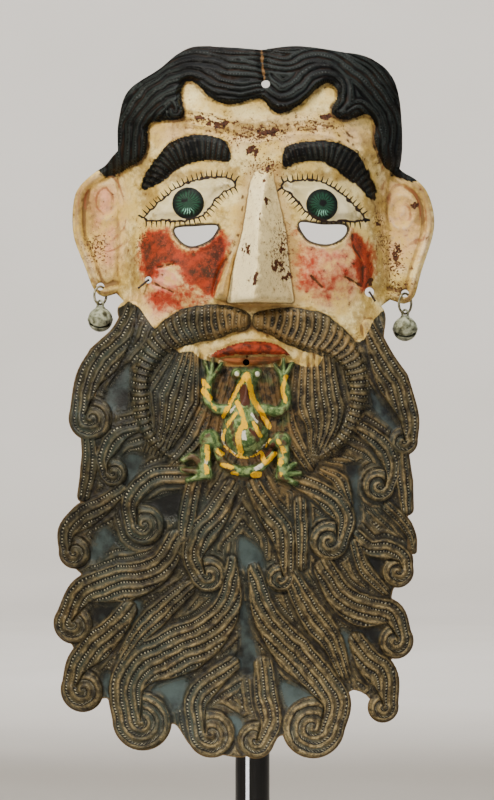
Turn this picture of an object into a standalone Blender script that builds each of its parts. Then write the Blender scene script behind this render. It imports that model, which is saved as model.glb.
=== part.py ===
import math

import bmesh
import bpy
import numpy as np
from mathutils import Matrix, Vector
from mathutils.bvhtree import BVHTree
from mathutils.geometry import delaunay_2d_cdt

# A painted mask of beaten copper: a bearded face with a frog on its chin, on a black museum stand.
# It faces -Y. A point (u, v) of the mask is counted in 450ths of the mask's height: u to the
# right of the middle line, v up from the beard's lowest edge, and depth from its rear plane to -Y.

MASK_HEIGHT = 0.450
SHEET = 0.0012
MASK_ABOVE_FLOOR = 0.110
MASK_REAR = 0.018

BASE_WIDTH = 0.200
BASE_DEPTH = 0.160
BASE_HEIGHT = 0.018
BASE_BEVEL = 0.0015
ROD_DIAMETER = 0.022
ROD_SOCKET = 0.012
ROD_TOP_SHARE = 402
GAP = 0.0003

BAR_HEIGHT = 0.014
BAR_THICKNESS = 0.004
UPPER_BAR_LENGTH = 0.096
LOWER_BAR_LENGTH = 0.080
UPPER_BAR_SHARE = 388
LOWER_BAR_SHARE = 214
PAD_DIAMETER = 0.010

BELL_DIAMETER = 0.0160
BELL_WALL = 0.0008
BELL_SLOT = 0.0020
BELL_COLLAR = 0.0076
LOOP_WIRE = 0.0014
LOOP_DIAMETER = 0.0062
HOOP_WIRE = 0.0016
HOOP_TURN = math.radians(40)
WIRE_CLEARANCE = 0.0011
TIE_WIRE = 0.0014

UNIT = MASK_HEIGHT / 450
FINE = 1.8
FRONT_TRIANGLES = 3200
OUTLINE_STEP = 1.0
OUTLINE_SLACK = 0.3
HOLE_SLACK = 0.12
STRAND = 9.0
LOCK_HEIGHT = 4.5
EDGE = 3.6
EDGE_ROOM = 1.2
GROOVE = 1.8

# Each lock: its middle line, its width at the root, half way and at the curl, then the curl's
# centre, its radius and which way it winds: 1 is counter-clockwise as the viewer sees it.
LOCKS = (
    (((-77, 284), (-83, 266), (-94, 251), (-104, 238)), (9, 23, 11), (-102.5, 213.5), 14.5, 1),
    (((-63, 201), (-75, 204), (-86, 200), (-94, 190)), (9, 10, 7), (-88, 179), 9.5, 1),
    (((-104, 200), (-103, 190), (-104, 178), (-107, 164)), (10, 12, 9), None, 0, 0),
    (((-87, 165), (-101, 158), (-112, 150), (-118, 141)), (10, 12, 8), (-113, 128), 10.5, 1),
    (((-43, 174), (-58, 173), (-70, 166), (-77, 156)), (9, 13, 10), (-68.5, 146), 13.5, 1),
    (((-14, 166), (-24, 152), (-33, 139), (-38, 127)), (12, 14, 9), (-28, 115), 12, 1),
    (((-37, 170), (-38, 150), (-41, 128)), (12, 12, 7), None, 0, 0),
    (((-47, 135), (-58, 120), (-74, 112), (-92, 108), (-108, 102)), (14, 25, 12), (-114, 82.5), 13, 1),
    (((-76, 92), (-88, 80), (-100, 69), (-110, 58)), (14, 18, 10), (-108.5, 40), 14, 1),
    (((-13, 118), (-17, 92), (-32, 71), (-52, 64), (-70, 57), (-80, 43)), (10, 34, 19), (-70, 21.5), 19, 1),
    (((-44, 112), (-58, 98), (-72, 87)), (9, 10, 7), None, 0, 0),
    (((-14, 56), (-27, 46), (-36, 34)), (10, 13, 12), (-26, 14), 15.5, 1),
    (((-43, 246), (-46, 225), (-49, 205), (-48, 194)), (22, 24, 14), None, 0, 0),
    (((74, 272), (82, 250), (91, 232), (99, 214)), (10, 22, 9), (95.5, 199), 9.5, -1),
    (((68, 212), (76, 203), (84, 192)), (8, 10, 8), (80, 171), 11, -1),
    (((95, 188), (95.5, 174), (95, 158)), (9, 12, 9), None, 0, 0),
    (((67, 141), (79, 137), (92, 130)), (9, 11, 8), (92, 116.3), 10.5, -1),
    (((86, 157), (95, 148), (101, 138), (102.5, 129)), (9, 9, 4), None, 0, 0),
    (((46, 116), (54, 101), (68, 93), (83, 90)), (14, 22, 10), (91, 72), 11.5, -1),
    (((28, 172), (40, 167), (51, 157)), (9, 13, 9), (48.5, 136), 13, -1),
    (((3, 167), (13, 152), (21, 137)), (12, 13, 8), (17.5, 112.5), 9.5, -1),
    (((33, 160), (33, 140), (33, 120)), (9, 9, 7), None, 0, 0),
    (((6, 116), (15, 94), (28, 76), (43, 57), (51, 38)), (14, 42, 16), (38.5, 18), 20, -1),
    (((66, 73), (74, 61), (84, 48)), (12, 20, 10), (83, 30), 10, -1),
    (((8, 57), (9, 40), (12, 24)), (13, 14, 12), (2, 10), 12, -1),
    (((44, 246), (44, 225), (43, 205), (43, 194)), (24, 26, 13), None, 0, 0),
)
MOUSTACHE = (
    (((-5, 273), (-22, 273), (-38, 270), (-52, 263), (-64, 252), (-70, 238), (-71, 222), (-67, 206), (-58, 195)),
     (20, 19, 13)),
    (((5, 272), (20, 272), (35, 269), (48, 262), (59, 252), (65, 238), (66, 222), (62, 207), (53, 195)),
     (16, 20, 13)),
)

# Closed outlines, each smooth through its points.
HEAD = (
    (5, 447), (-15, 448.5), (-40, 448.5), (-60, 434), (-79, 421), (-85, 402), (-85.5, 384), (-84, 360), (-83, 320),
    (-80, 289), (-60, 268), (0, 262), (60, 268), (77.5, 288), (83, 320), (86, 355), (94, 372), (95.5, 398),
    (91, 428), (76, 442.5), (54, 446.5), (30, 449.5), (14, 448.2),
)
BEARD = (
    (-79.5, 289), (-84, 268), (-97, 240), (-104, 205), (-104, 168), (-113, 148), (-115, 122), (-108, 112),
    (-114, 96), (-119, 78), (-112, 62), (-112, 42), (-97, 35), (-90, 34), (-80, 14), (-62, 10), (-50, 20),
    (-38, 5), (-20, 0.5), (-5, -1), (10, 6), (20, 13), (32, 4), (46, 3), (57, 18), (61, 40), (72, 38),
    (78, 30), (87, 34), (87, 58), (95, 68), (96, 80), (89, 92), (89, 104), (96, 116), (99, 132), (98, 160),
    (98, 195), (101, 214), (97, 236), (84, 260), (77.5, 288), (0, 300),
)
EARS = (
    ((-80, 378), (-95, 374), (-110, 362), (-114.5, 350), (-114.3, 330), (-107, 310), (-101.5, 296), (-95, 290.8),
     (-87, 293), (-78, 292)),
    ((80, 374), (98, 369.5), (110, 360.5), (115.6, 346), (115.5, 331), (108, 307), (103.5, 291), (97, 286.4),
     (88, 289), (78, 290)),
)
HAIR = (
    (-66, 384), (-65, 398), (-56, 400.5), (-46, 401), (-42, 405), (-44.4, 417), (-42, 425), (-36, 424), (-27, 415),
    (-15, 410), (-1, 413.4), (5, 414), (12, 406.6), (18, 404.3), (30, 410), (44, 423), (50, 424), (53, 418),
    (49, 407), (56, 401), (66, 403), (73, 405), (77, 398), (77, 388), (86, 371), (110, 371), (110, 462),
    (-100, 462), (-100, 374), (-74, 374),
)
BROWS = (
    ((-71, 357.4), (-68, 368.7), (-60, 380), (-51, 389), (-35, 393), (-19.5, 390), (-13.3, 382), (-14.4, 374.3),
     (-29.7, 375), (-46.6, 371), (-56, 363), (-64.7, 359)),
    ((19.6, 384), (32.6, 388.5), (49.6, 389), (63, 384.5), (71, 376), (79.5, 356), (74.4, 352.3), (67.6, 359.6),
     (58.6, 365), (46, 373.8), (31.5, 374.3), (19, 371)),
)
EYES = (
    ((-10, 361.3), (-24, 365.3), (-42, 361.3), (-54.5, 353.4), (-68.7, 340), (-57, 338.7), (-43, 338.2),
     (-31, 342), (-20.6, 354)),
    ((18.5, 360.6), (30, 363.3), (44, 362), (57.5, 354), (70.5, 340), (58.6, 338.2), (45, 338.2), (34.3, 343.8),
     (24, 355)),
)
IRISES = ((-40.6, 349, 9.7), (43.9, 348, 10))
SLITS = (
    ((-49, 333), (-36, 334.4), (-22.5, 334.8), (-23, 331), (-27.5, 325.6), (-37.6, 321.8), (-45, 325)),
    ((29.8, 336.6), (44, 335.6), (58.4, 335.3), (58.2, 329), (49.6, 323.6), (40.5, 323.8), (33.7, 327.4)),
)
NOSE_WING = ((-11, 322), (-18, 310), (-24.6, 297), (-24.8, 288), (-14, 286.5), (-12, 300))
LIPS = (
    (-30, 250), (-22, 257.8), (-9.4, 261), (0, 262.8), (12, 262), (23.5, 255), (27.7, 252), (16, 249.5),
    (0, 247.5), (-18, 249),
)
FROG_BODY = (
    (-4.3, 246), (-11.5, 241), (-11.5, 230), (-18.3, 215), (-19, 199.6), (-13.5, 191.4), (-4.6, 188), (3, 190.7),
    (8.8, 197), (11, 207), (7, 218), (3, 230), (4.6, 240),
)
# The frog's limbs: middle line and width at both ends; each foot and knee is a round boss.
FROG_LIMBS = (
    (((-14, 221), (-24.5, 221.6), (-29, 226), (-26.6, 238)), (6, 5, 5)),
    (((8, 221), (20, 220.5), (20.8, 228), (19, 240)), (6, 5, 5)),
    (((-28, 198), (-29.3, 186), (-28, 178)), (6, 6, 4)),
    (((-23, 193), (-17, 183), (-5, 179), (5, 184), (12, 190)), (4, 7, 5)),
    (((14, 201), (20, 194), (17, 187), (17.5, 178)), (6, 6, 5)),
)
FROG_BOSSES = (
    (-25, 245, 6), (20, 245, 6), (-27.3, 200, 5), (-39, 183.8, 6.5), (24.2, 179, 6.5), (-9.7, 241.5, 4),
    (3, 241.5, 4),
)
PARTING = ((8, 424), (6.5, 436), (5.5, 448))

# Round holes through the sheet: the worn one in the parting, the mouth's, and those for the
# tie wires and the bells' hoops.
HAIR_HOLE = (8.3, 424, 2.7)
MOUTH_HOLE = (-4, 248.6, 2.1)
TIE_HOLES = ((-66, 301, 2.2), (74.4, 293.5, 3.0))
HOOP_HOLES = ((-97.2, 297.4), (97.6, 293))
BELL_CENTRES = ((-97.5, 276.3), (98.8, 270.4))


def spline(points, step=2.0, closed=False):
    points = np.array(points, float)
    count = len(points)
    runs = count if closed else count - 1
    found = []
    for i in range(runs):
        p1, p2 = points[i], points[(i + 1) % count]
        p0 = points[i - 1] if closed or i else 2 * p1 - p2
        p3 = points[(i + 2) % count] if closed or i + 2 < count else 2 * p2 - p1
        parts = max(2, int(np.hypot(*(p2 - p1)) / step))
        t = (np.arange(parts) / parts)[:, None]
        found.append(0.5 * (2 * p1 + (p2 - p0) * t + (2 * p0 - 5 * p1 + 4 * p2 - p3) * t**2
                            + (3 * p1 - p0 - 3 * p2 + p3) * t**3))
    if not closed:
        found.append(points[-1:])
    return np.concatenate(found)


def across(path, u, v):
    """Each point's distance to a path, its distance to the left of it, and its share of the way along."""
    start, run = path[:-1], path[1:] - path[:-1]
    length = np.hypot(run[:, 0], run[:, 1])
    total = np.concatenate([[0], np.cumsum(length)])
    du, dv = u[:, None] - start[:, 0], v[:, None] - start[:, 1]
    t = np.clip((du * run[:, 0] + dv * run[:, 1]) / length**2, 0, 1)
    apart = np.hypot(du - t * run[:, 0], dv - t * run[:, 1])
    nearest = apart.argmin(axis=1)
    rows = np.arange(len(u))
    side = (run[nearest, 0] * dv[rows, nearest] - run[nearest, 1] * du[rows, nearest]) / length[nearest]
    share = (total[nearest] + t[rows, nearest] * length[nearest]) / total[-1]
    return apart[rows, nearest], side, share


def inside(outline, u, v):
    """Distance in from a closed outline, negative outside it."""
    closed = np.vstack([outline, outline[:1]])
    apart, _, _ = across(closed, u, v)
    a, b = closed[:-1], closed[1:]
    spans = (a[:, 1] > v[:, None]) != (b[:, 1] > v[:, None])
    rise = np.where(b[:, 1] == a[:, 1], 1, b[:, 1] - a[:, 1])
    left = u[:, None] < (b[:, 0] - a[:, 0]) * (v[:, None] - a[:, 1]) / rise + a[:, 0]
    return np.where((spans & left).sum(axis=1) % 2 == 1, apart, -apart)


def near(outline, u, v, margin):
    low, high = outline.min(axis=0) - margin, outline.max(axis=0) + margin
    return (u > low[0]) & (u < high[0]) & (v > low[1]) & (v < high[1])


def inside_of(outline, u, v, margin=8.0):
    found = np.full(len(u), -margin)
    close = near(outline, u, v, margin)
    found[close] = np.maximum(inside(outline, u[close], v[close]), -margin)
    return found


def smooth(x, low=0.0, high=1.0):
    t = np.clip((x - low) / (high - low), 0, 1)
    return t * t * (3 - 2 * t)


def width_at(widths, share):
    first, middle, last = widths
    return np.interp(share, (0, 0.5, 1), (first, middle, last))


def path_of(lock):
    """A lock's middle line, run on until it touches its curl's round."""
    points, widths, centre, radius, turn = lock
    if not centre:
        return spline(points, 3)
    ring = radius - widths[2] / 2
    away = np.array(points[-1], float) - centre
    reach = np.hypot(*away)
    swing = math.acos(min(1, ring / reach)) * turn
    angle = math.atan2(away[1], away[0]) + swing
    touch = (centre[0] + ring * math.cos(angle), centre[1] + ring * math.sin(angle))
    return spline((*points, touch), 3)


def dome(x):
    return np.sqrt(np.clip(1 - x * x, 0, 1))


LOCK_PATHS = [path_of(lock) for lock in LOCKS]
MOUSTACHE_PATHS = [spline(points, 3) for points, _ in MOUSTACHE]
LIMB_PATHS = [spline(points, 2) for points, _ in FROG_LIMBS]
HEAD_LINE = spline(HEAD, 3, True)
BEARD_LINE = spline(BEARD, 3, True)
EAR_LINES = [spline(ear, 3, True) for ear in EARS]
HAIR_LINE = spline(HAIR, 3, True)
BROW_LINES = [spline(brow, 3, True) for brow in BROWS]
EYE_LINES = [spline(eye, 2, True) for eye in EYES]
SLIT_LINES = [spline(slit, 2, True) for slit in SLITS]
WING_LINE = spline(NOSE_WING, 2, True)
LIP_LINE = spline(LIPS, 2, True)
FROG_LINE = spline(FROG_BODY, 2, True)
PARTING_PATH = spline(PARTING, 4)


def ribbon_edge(path, widths, u, v):
    found = np.full(len(u), -9.0)
    close = near(path, u, v, max(widths))
    apart, _, share = across(path, u[close], v[close])
    found[close] = np.maximum(width_at(widths, share) / 2 - apart, -9)
    return found


def material(u, v):
    """Positive on the sheet and negative off it: about the distance to its edge."""
    found = np.maximum(inside_of(HEAD_LINE, u, v), inside_of(BEARD_LINE, u, v))
    for line in EAR_LINES:
        found = np.maximum(found, inside_of(line, u, v))
    for lock, path in zip(LOCKS, LOCK_PATHS):
        _, widths, centre, radius, _ = lock
        found = np.maximum(found, ribbon_edge(path, widths, u, v))
        if centre:
            found = np.maximum(found, radius - np.hypot(u - centre[0], v - centre[1]))
    for line in SLIT_LINES:
        found = np.minimum(found, -inside_of(line, u, v))
    hoop_hole = (HOOP_WIRE / 2 + WIRE_CLEARANCE) / UNIT / math.cos(HOOP_TURN)
    holes = [HAIR_HOLE, MOUTH_HOLE, *TIE_HOLES, *[(*place, hoop_hole) for place in HOOP_HOLES]]
    for u0, v0, radius in holes:
        found = np.minimum(found, np.hypot(u - u0, v - v0) - radius)
    return found


def base_form(u, v):
    """The bent sheet before the relief: deep in the middle, falling back to the sides and top."""
    u = np.abs(u)
    half = 90 + 10 * smooth(v, 366, 384)
    face = 50 * np.clip(1 - (u / half) ** 2.6, 0, 1) ** 0.75
    face = face - 24 * np.clip((v - 395) / 53, 0, 1.2) ** 2
    slope = 22 + 14 * smooth(v, 200, 280)
    beard = 48 - slope * (u / 110) ** 2.2 - 12 * np.clip((200 - v) / 200, 0, 1.1) ** 1.5
    blend = smooth(v, 262, 294)
    return face * blend + beard * (1 - blend)


def ribbon(path, widths, u, v, height):
    """A rounded band; a wide one has grooves along it between its strands."""
    found = np.zeros(len(u))
    close = near(path, u, v, max(widths))
    apart, side, share = across(path, u[close], v[close])
    half = width_at(widths, share) / 2
    strands = max(1, round(max(widths) / STRAND))
    groove = 0.5 - 0.5 * np.cos(math.pi * (side / half + 1) * strands)
    found[close] = smooth((half - apart) / EDGE) * (height - GROOVE + GROOVE * groove)
    return found


def curl(centre, radius, u, v, height):
    """A round end to a lock, with a ring groove and a boss in its middle."""
    apart = np.hypot(u - centre[0], v - centre[1])
    groove = np.exp(-(((apart - 0.55 * radius) / (0.16 * radius)) ** 2))
    return smooth((radius - apart) / EDGE) * (height - GROOVE * groove)


def raised(line, u, v, height, soft):
    return height * smooth(inside_of(line, u, v, soft + 1), 0, soft)


def nose(u, v):
    """A wedge: its crest leans to the right at the brows and stands highest over the lip."""
    rows = (283, 288, 307, 331, 362, 372)
    crest = np.interp(v, rows, (0.6, 0.6, 2.6, 3.3, 8, 9))
    left = np.interp(v, rows, (-15.8, -15.8, -12.5, -6.3, -1.5, 4))
    right = np.interp(v, rows, (26, 26, 23.5, 21, 14, 12))
    height = np.interp(v, rows, (0, 32, 29, 21, 7, 0))
    share = np.where(u < crest, (u - left) / (crest - left), (right - u) / (right - crest))
    return height * np.clip(share, 0, 1)


def relief(u, v):
    """How far the beaten surface stands out from the bent sheet."""
    found = np.zeros(len(u))
    for lock, path in zip(LOCKS, LOCK_PATHS):
        _, widths, centre, radius, _ = lock
        found = np.maximum(found, ribbon(path, widths, u, v, LOCK_HEIGHT))
        if centre:
            found = np.maximum(found, curl(centre, radius, u, v, LOCK_HEIGHT + 1.5))
    for (points, widths), path in zip(MOUSTACHE, MOUSTACHE_PATHS):
        close = near(path, u, v, max(widths))
        apart, _, share = across(path, u[close], v[close])
        roll = 9.0 * dome(apart / (width_at(widths, share) / 2))
        found[close] = np.maximum(found[close], roll)
    for line in BROW_LINES:
        found += raised(line, u, v, 5.0, 5.0)
    for centre in (-41, 44):
        found -= 4.0 * np.exp(-(((u - centre) / 30) ** 2) - ((v - 352) / 16) ** 2)
        found += 4.0 * np.exp(-(((u - centre * 1.1) / 20) ** 2) - ((v - 306) / 18) ** 2)
    for line, (u0, v0, radius) in zip(EYE_LINES, IRISES):
        found += raised(line, u, v, 4.5, 5.0)
        found += 2.6 * dome(np.hypot(u - u0, v - v0) / radius)
    hair = raised(HAIR_LINE, u, v, 5.0, 4.0)
    close = near(PARTING_PATH, u, v, 9)
    apart, _, _ = across(PARTING_PATH, u[close], v[close])
    hair[close] -= 3.5 * np.exp(-((apart / 3.0) ** 2))
    found += hair
    found = np.maximum(found, nose(u, v))
    found = np.maximum(found, raised(WING_LINE, u, v, 12.0, 7.0))
    found = np.maximum(found, raised(LIP_LINE, u, v, 6.0, 4.5))
    found = np.maximum(found, raised(FROG_LINE, u, v, 12.0, 8.0))
    for (points, widths), path in zip(FROG_LIMBS, LIMB_PATHS):
        close = near(path, u, v, max(widths))
        apart, _, share = across(path, u[close], v[close])
        found[close] = np.maximum(found[close], 7.0 * smooth((width_at(widths, share) / 2 - apart) / 2.5))
    for u0, v0, radius in FROG_BOSSES:
        found = np.maximum(found, 8.0 * smooth((radius - np.hypot(u - u0, v - v0)) / 3.0))
    return found


def ear_flap(u, v):
    """The ears: flat flaps near the rear plane, with a raised rim and one inner ring."""
    found = np.zeros(len(u))
    for line in EAR_LINES:
        deep = inside_of(line, u, v, 16.0)
        flap = 9.0 + 2.6 * np.exp(-(((deep - 3.2) / 2.6) ** 2)) + 1.6 * np.exp(-(((deep - 13) / 2.6) ** 2))
        found = np.maximum(found, np.where(deep > -6, flap, 0))
    return found


def depth(u, v):
    """The front surface's distance in front of the rear plane."""
    front = base_form(u, v) + relief(u, v)
    return np.maximum(front, ear_flap(u, v))


def outline_loops():
    """The sheet's outer edge and its holes, as closed loops of points, traced where material is 0."""
    us = np.arange(-134, 124 + OUTLINE_STEP, OUTLINE_STEP)
    vs = np.arange(-6, 456 + OUTLINE_STEP, OUTLINE_STEP)
    grid_u, grid_v = np.meshgrid(us, vs, indexing="ij")
    field = material(grid_u.ravel(), grid_v.ravel()).reshape(grid_u.shape)
    field[np.abs(field) < 1e-6] = 1e-6
    sign = field > 0
    mixed = (sign[:-1, :-1] != sign[1:, :-1]) | (sign[:-1, :-1] != sign[1:, 1:]) | (sign[:-1, :-1] != sign[:-1, 1:])
    follows, places = {}, {}
    for i, j in zip(*np.nonzero(mixed)):
        corners = ((i, j), (i + 1, j), (i + 1, j + 1), (i, j + 1))
        leaves, enters = [], []
        for k in range(4):
            a, b = corners[k], corners[(k + 1) % 4]
            if sign[a] == sign[b]:
                continue
            edge = (min(a, b), max(a, b))
            t = field[a] / (field[a] - field[b])
            places[edge] = (us[a[0]] + t * (us[b[0]] - us[a[0]]), vs[a[1]] + t * (vs[b[1]] - vs[a[1]]))
            (leaves if sign[a] else enters).append(edge)
        if len(leaves) == 2:
            follows[leaves[0]], follows[leaves[1]] = enters[1], enters[0]
        else:
            follows[leaves[0]] = enters[0]
    loops = []
    while follows:
        edge = next(iter(follows))
        loop = []
        while edge in follows:
            loop.append(places[edge])
            edge = follows.pop(edge)
        loop = np.array(loop)
        size = abs(area_of(loop))
        if size > 8:
            loops.append(simplified(loop, OUTLINE_SLACK if size > 60 else HOLE_SLACK))
    return loops


def area_of(loop):
    after = np.roll(loop, -1, axis=0)
    return 0.5 * np.sum(loop[:, 0] * after[:, 1] - after[:, 0] * loop[:, 1])


def simplified(loop, slack):
    """The fewest points of a closed loop that stay within the slack of all of them."""
    far = np.hypot(*(loop - loop[0]).T).argmax()
    kept = {0, int(far)}
    runs = [(0, int(far)), (int(far), len(loop))]
    ring = np.vstack([loop, loop[:1]])
    while runs:
        first, last = runs.pop()
        if last - first < 2:
            continue
        chord = ring[last] - ring[first]
        away = ring[first + 1:last] - ring[first]
        t = np.clip(away @ chord / max(chord @ chord, 1e-9), 0, 1)
        off = np.hypot(*(away - t[:, None] * chord).T)
        worst = int(off.argmax())
        if off[worst] > slack:
            middle = first + 1 + worst
            kept.add(middle)
            runs += [(first, middle), (middle, last)]
    return loop[sorted(kept)]


def triangulated(points, loops, ties=()):
    """Delaunay triangles over the points that keep the loops' edges and the ties, on the sheet only."""
    edges, start = list(ties), 0
    for loop in loops:
        count = len(loop)
        edges += [(start + k, start + (k + 1) % count) for k in range(count)]
        start += count
    found = delaunay_2d_cdt([Vector(point) for point in points], edges, [], 0, 1e-6)
    flat = np.array([tuple(point) for point in found[0]])
    faces = np.array(found[2])
    middles = flat[faces].mean(axis=1)
    wound = np.zeros(len(faces), int)
    for loop in loops:
        wound += np.where(inside(loop, middles[:, 0], middles[:, 1]) > 0, 1, 0)
    return flat, faces[wound == 1]


def front_surface(loops):
    """Points and triangles of the front: an even fine mesh, thinned where the relief bends least."""
    us = np.arange(-130, 121, FINE)
    vs = np.arange(-3, 451, FINE)
    grid_u, grid_v = (side.ravel() for side in np.meshgrid(us, vs, indexing="ij"))
    clear = material(grid_u, grid_v) > FINE / 2
    points = np.vstack([*loops, np.column_stack([grid_u, grid_v])[clear]])
    flat, faces = triangulated(points, loops)
    heights = depth(flat[:, 0], flat[:, 1])
    mesh = bpy.data.meshes.new("front")
    mesh.from_pydata([(u, -h, v) for (u, v), h in zip(flat.tolist(), heights)], [], faces.tolist())
    front = new_object("front", mesh)
    thin = front.modifiers.new("thin", "DECIMATE")
    thin.ratio = FRONT_TRIANGLES / len(faces)
    bpy.context.view_layer.update()
    thinned = bpy.data.meshes.new_from_object(front.evaluated_get(bpy.context.evaluated_depsgraph_get()))
    bpy.data.objects.remove(front)
    kept = np.array([(vert.co.x, vert.co.z) for vert in thinned.vertices])
    clear = material(kept[:, 0], kept[:, 1]) > EDGE_ROOM
    start = sum(len(loop) for loop in loops)
    index = np.cumsum(clear) - 1 + start
    ties = [(index[edge.vertices[0]], index[edge.vertices[1]]) for edge in thinned.edges
            if clear[edge.vertices[0]] and clear[edge.vertices[1]]]
    return triangulated(np.vstack([*loops, kept[clear]]), loops, ties)


def place(u, v, out):
    """A mask point in the part's frame, in metres."""
    return (u * UNIT, MASK_REAR - out * UNIT, MASK_ABOVE_FLOOR + v * UNIT)


def colour_of(code):
    parts = [int(code[i:i + 2], 16) / 255 for i in (1, 3, 5)]
    return [p / 12.92 if p <= 0.04045 else ((p + 0.055) / 1.055) ** 2.4 for p in parts] + [1]


def coloured(thing, name, code, roughness, metallic):
    look = bpy.data.materials.new(name)
    look.use_nodes = True
    shader = look.node_tree.nodes["Principled BSDF"]
    shader.inputs["Base Color"].default_value = colour_of(code)
    shader.inputs["Roughness"].default_value = roughness
    shader.inputs["Metallic"].default_value = metallic
    look.diffuse_color = colour_of(code)
    thing.data.materials.append(look)


def new_object(name, mesh):
    thing = bpy.data.objects.new(name, mesh)
    bpy.context.scene.collection.objects.link(thing)
    return thing


def object_from(name, body):
    bmesh.ops.recalc_face_normals(body, faces=body.faces[:])
    mesh = bpy.data.meshes.new(name)
    body.to_mesh(mesh)
    body.free()
    return new_object(name, mesh)


def make_mask():
    """One sheet with a front and a back that follow each other, closed along every edge."""
    loops = outline_loops()
    flat, faces = front_surface(loops)
    a, b, c = flat[faces[:, 0]], flat[faces[:, 1]], flat[faces[:, 2]]
    turn = (b[:, 0] - a[:, 0]) * (c[:, 1] - a[:, 1]) - (b[:, 1] - a[:, 1]) * (c[:, 0] - a[:, 0])
    faces = np.where((turn > 0)[:, None], faces, faces[:, ::-1])
    front = np.array([place(u, v, out) for (u, v), out in zip(flat, depth(flat[:, 0], flat[:, 1]))])
    corners = front[faces]
    normals = np.cross(corners[:, 1] - corners[:, 0], corners[:, 2] - corners[:, 0])
    summed = np.zeros_like(front)
    for k in range(3):
        np.add.at(summed, faces[:, k], normals)
    facing = np.abs(summed[:, 1]) / np.maximum(np.linalg.norm(summed, axis=1), 1e-12)
    back = front.copy()
    back[:, 1] += SHEET / np.maximum(facing, 0.4)
    body = bmesh.new()
    front_verts = [body.verts.new(point) for point in front]
    back_verts = [body.verts.new(point) for point in back]
    uses = {}
    for face in faces.tolist():
        body.faces.new([front_verts[i] for i in face])
        body.faces.new([back_verts[i] for i in reversed(face)])
        for k in range(3):
            edge = (face[k], face[(k + 1) % 3])
            uses[edge] = uses.get(edge, 0) + 1
    for a, b in list(uses):
        if (b, a) not in uses:
            body.faces.new((front_verts[b], front_verts[a], back_verts[a], back_verts[b]))
    loose = [vert for vert in body.verts if not vert.link_faces]
    bmesh.ops.delete(body, geom=loose, context="VERTS")
    bmesh.ops.triangulate(body, faces=[face for face in body.faces if len(face.verts) > 3])
    mask = object_from("mask", body)
    coloured(mask, "painted_copper", "#d9c7a4", 0.55, 0.0)
    return mask


def make_ring(name, centre, radius, wire, turn):
    """A round wire ring in an upright plane, turned about the vertical from the YZ plane."""
    body = bmesh.new()
    steps, sides = 16, 6
    rings = []
    for i in range(steps):
        angle = 2 * math.pi * i / steps
        ring = []
        for k in range(sides):
            around = 2 * math.pi * k / sides
            out = radius + wire / 2 * math.cos(around)
            aside = wire / 2 * math.sin(around)
            along = out * math.cos(angle)
            x = along * math.sin(turn) + aside * math.cos(turn)
            y = along * math.cos(turn) - aside * math.sin(turn)
            ring.append(body.verts.new((centre[0] + x, centre[1] + y, centre[2] + out * math.sin(angle))))
        rings.append(ring)
    for i in range(steps):
        for k in range(sides):
            following = rings[(i + 1) % steps]
            body.faces.new((rings[i][k], following[k], following[(k + 1) % sides], rings[i][(k + 1) % sides]))
    return object_from(name, body)


def bell_place(side):
    """A bell's centre, and its loop's: the bell hangs straight below its hoop, in the hoop's plane."""
    (bell_u, bell_v), (hole_u, hole_v) = BELL_CENTRES[side], HOOP_HOLES[side]
    out = float(ear_flap(np.array([hole_u]), np.array([hole_v]))[0]) - SHEET / UNIT / 2
    x, y, z = place(hole_u, bell_v, out)
    loop_z = z + BELL_DIAMETER / 2 + LOOP_DIAMETER / 2 - LOOP_WIRE
    return (x, y, z), loop_z, place(hole_u, hole_v, out)[2]


def make_bell(name, side):
    """A hollow ball with a collar and a loop on top and a slot across its lower front."""
    (x, y, z), loop_z, _ = bell_place(side)
    radius = BELL_DIAMETER / 2
    body = bmesh.new()
    bmesh.ops.create_uvsphere(body, u_segments=14, v_segments=8, radius=radius)
    inner = bmesh.ops.create_uvsphere(body, u_segments=14, v_segments=8, radius=radius - BELL_WALL)["verts"]
    bmesh.ops.reverse_faces(body, faces=list({face for vert in inner for face in vert.link_faces}))
    bmesh.ops.translate(body, verts=body.verts[:], vec=(x, y, z))
    mesh = bpy.data.meshes.new(name)
    body.to_mesh(mesh)
    body.free()
    bell = new_object(name, mesh)
    collar = bmesh.new()
    bmesh.ops.create_cone(collar, cap_ends=True, segments=12, radius1=BELL_COLLAR / 2, radius2=BELL_COLLAR * 0.36,
                          depth=0.0022)
    bmesh.ops.translate(collar, verts=collar.verts[:], vec=(x, y, z + radius - 0.0003))
    joined(bell, object_from(name + "_collar", collar), "UNION")
    loop = make_ring(name + "_loop", (x, y, loop_z), LOOP_DIAMETER / 2 - LOOP_WIRE / 2, LOOP_WIRE,
                     HOOP_TURN + math.pi / 2)
    joined(bell, loop, "UNION")
    slot = bmesh.new()
    bmesh.ops.create_cube(slot, size=1)
    bmesh.ops.scale(slot, vec=(BELL_DIAMETER * 0.80, radius * 1.5, BELL_SLOT), verts=slot.verts[:])
    bmesh.ops.translate(slot, vec=(0, -radius * 0.78, 0), verts=slot.verts[:])
    bmesh.ops.rotate(slot, cent=(0, 0, 0), matrix=turned_down(math.radians(42)), verts=slot.verts[:])
    bmesh.ops.translate(slot, verts=slot.verts[:], vec=(x, y, z))
    joined(bell, object_from(name + "_slot", slot), "DIFFERENCE")
    coloured(bell, name + "_verdigris", "#a3ab88", 0.6, 0.3)
    return bell


def turned_down(angle):
    return Matrix.Rotation(angle, 3, "X")


def joined(thing, other, operation):
    """Applies one Boolean and removes the piece that was used for it."""
    step = thing.modifiers.new(operation.lower(), "BOOLEAN")
    step.operation = operation
    step.object = other
    bpy.context.view_layer.update()
    result = bpy.data.meshes.new_from_object(thing.evaluated_get(bpy.context.evaluated_depsgraph_get()))
    thing.modifiers.clear()
    thing.data = result
    bpy.data.objects.remove(other)


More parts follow.
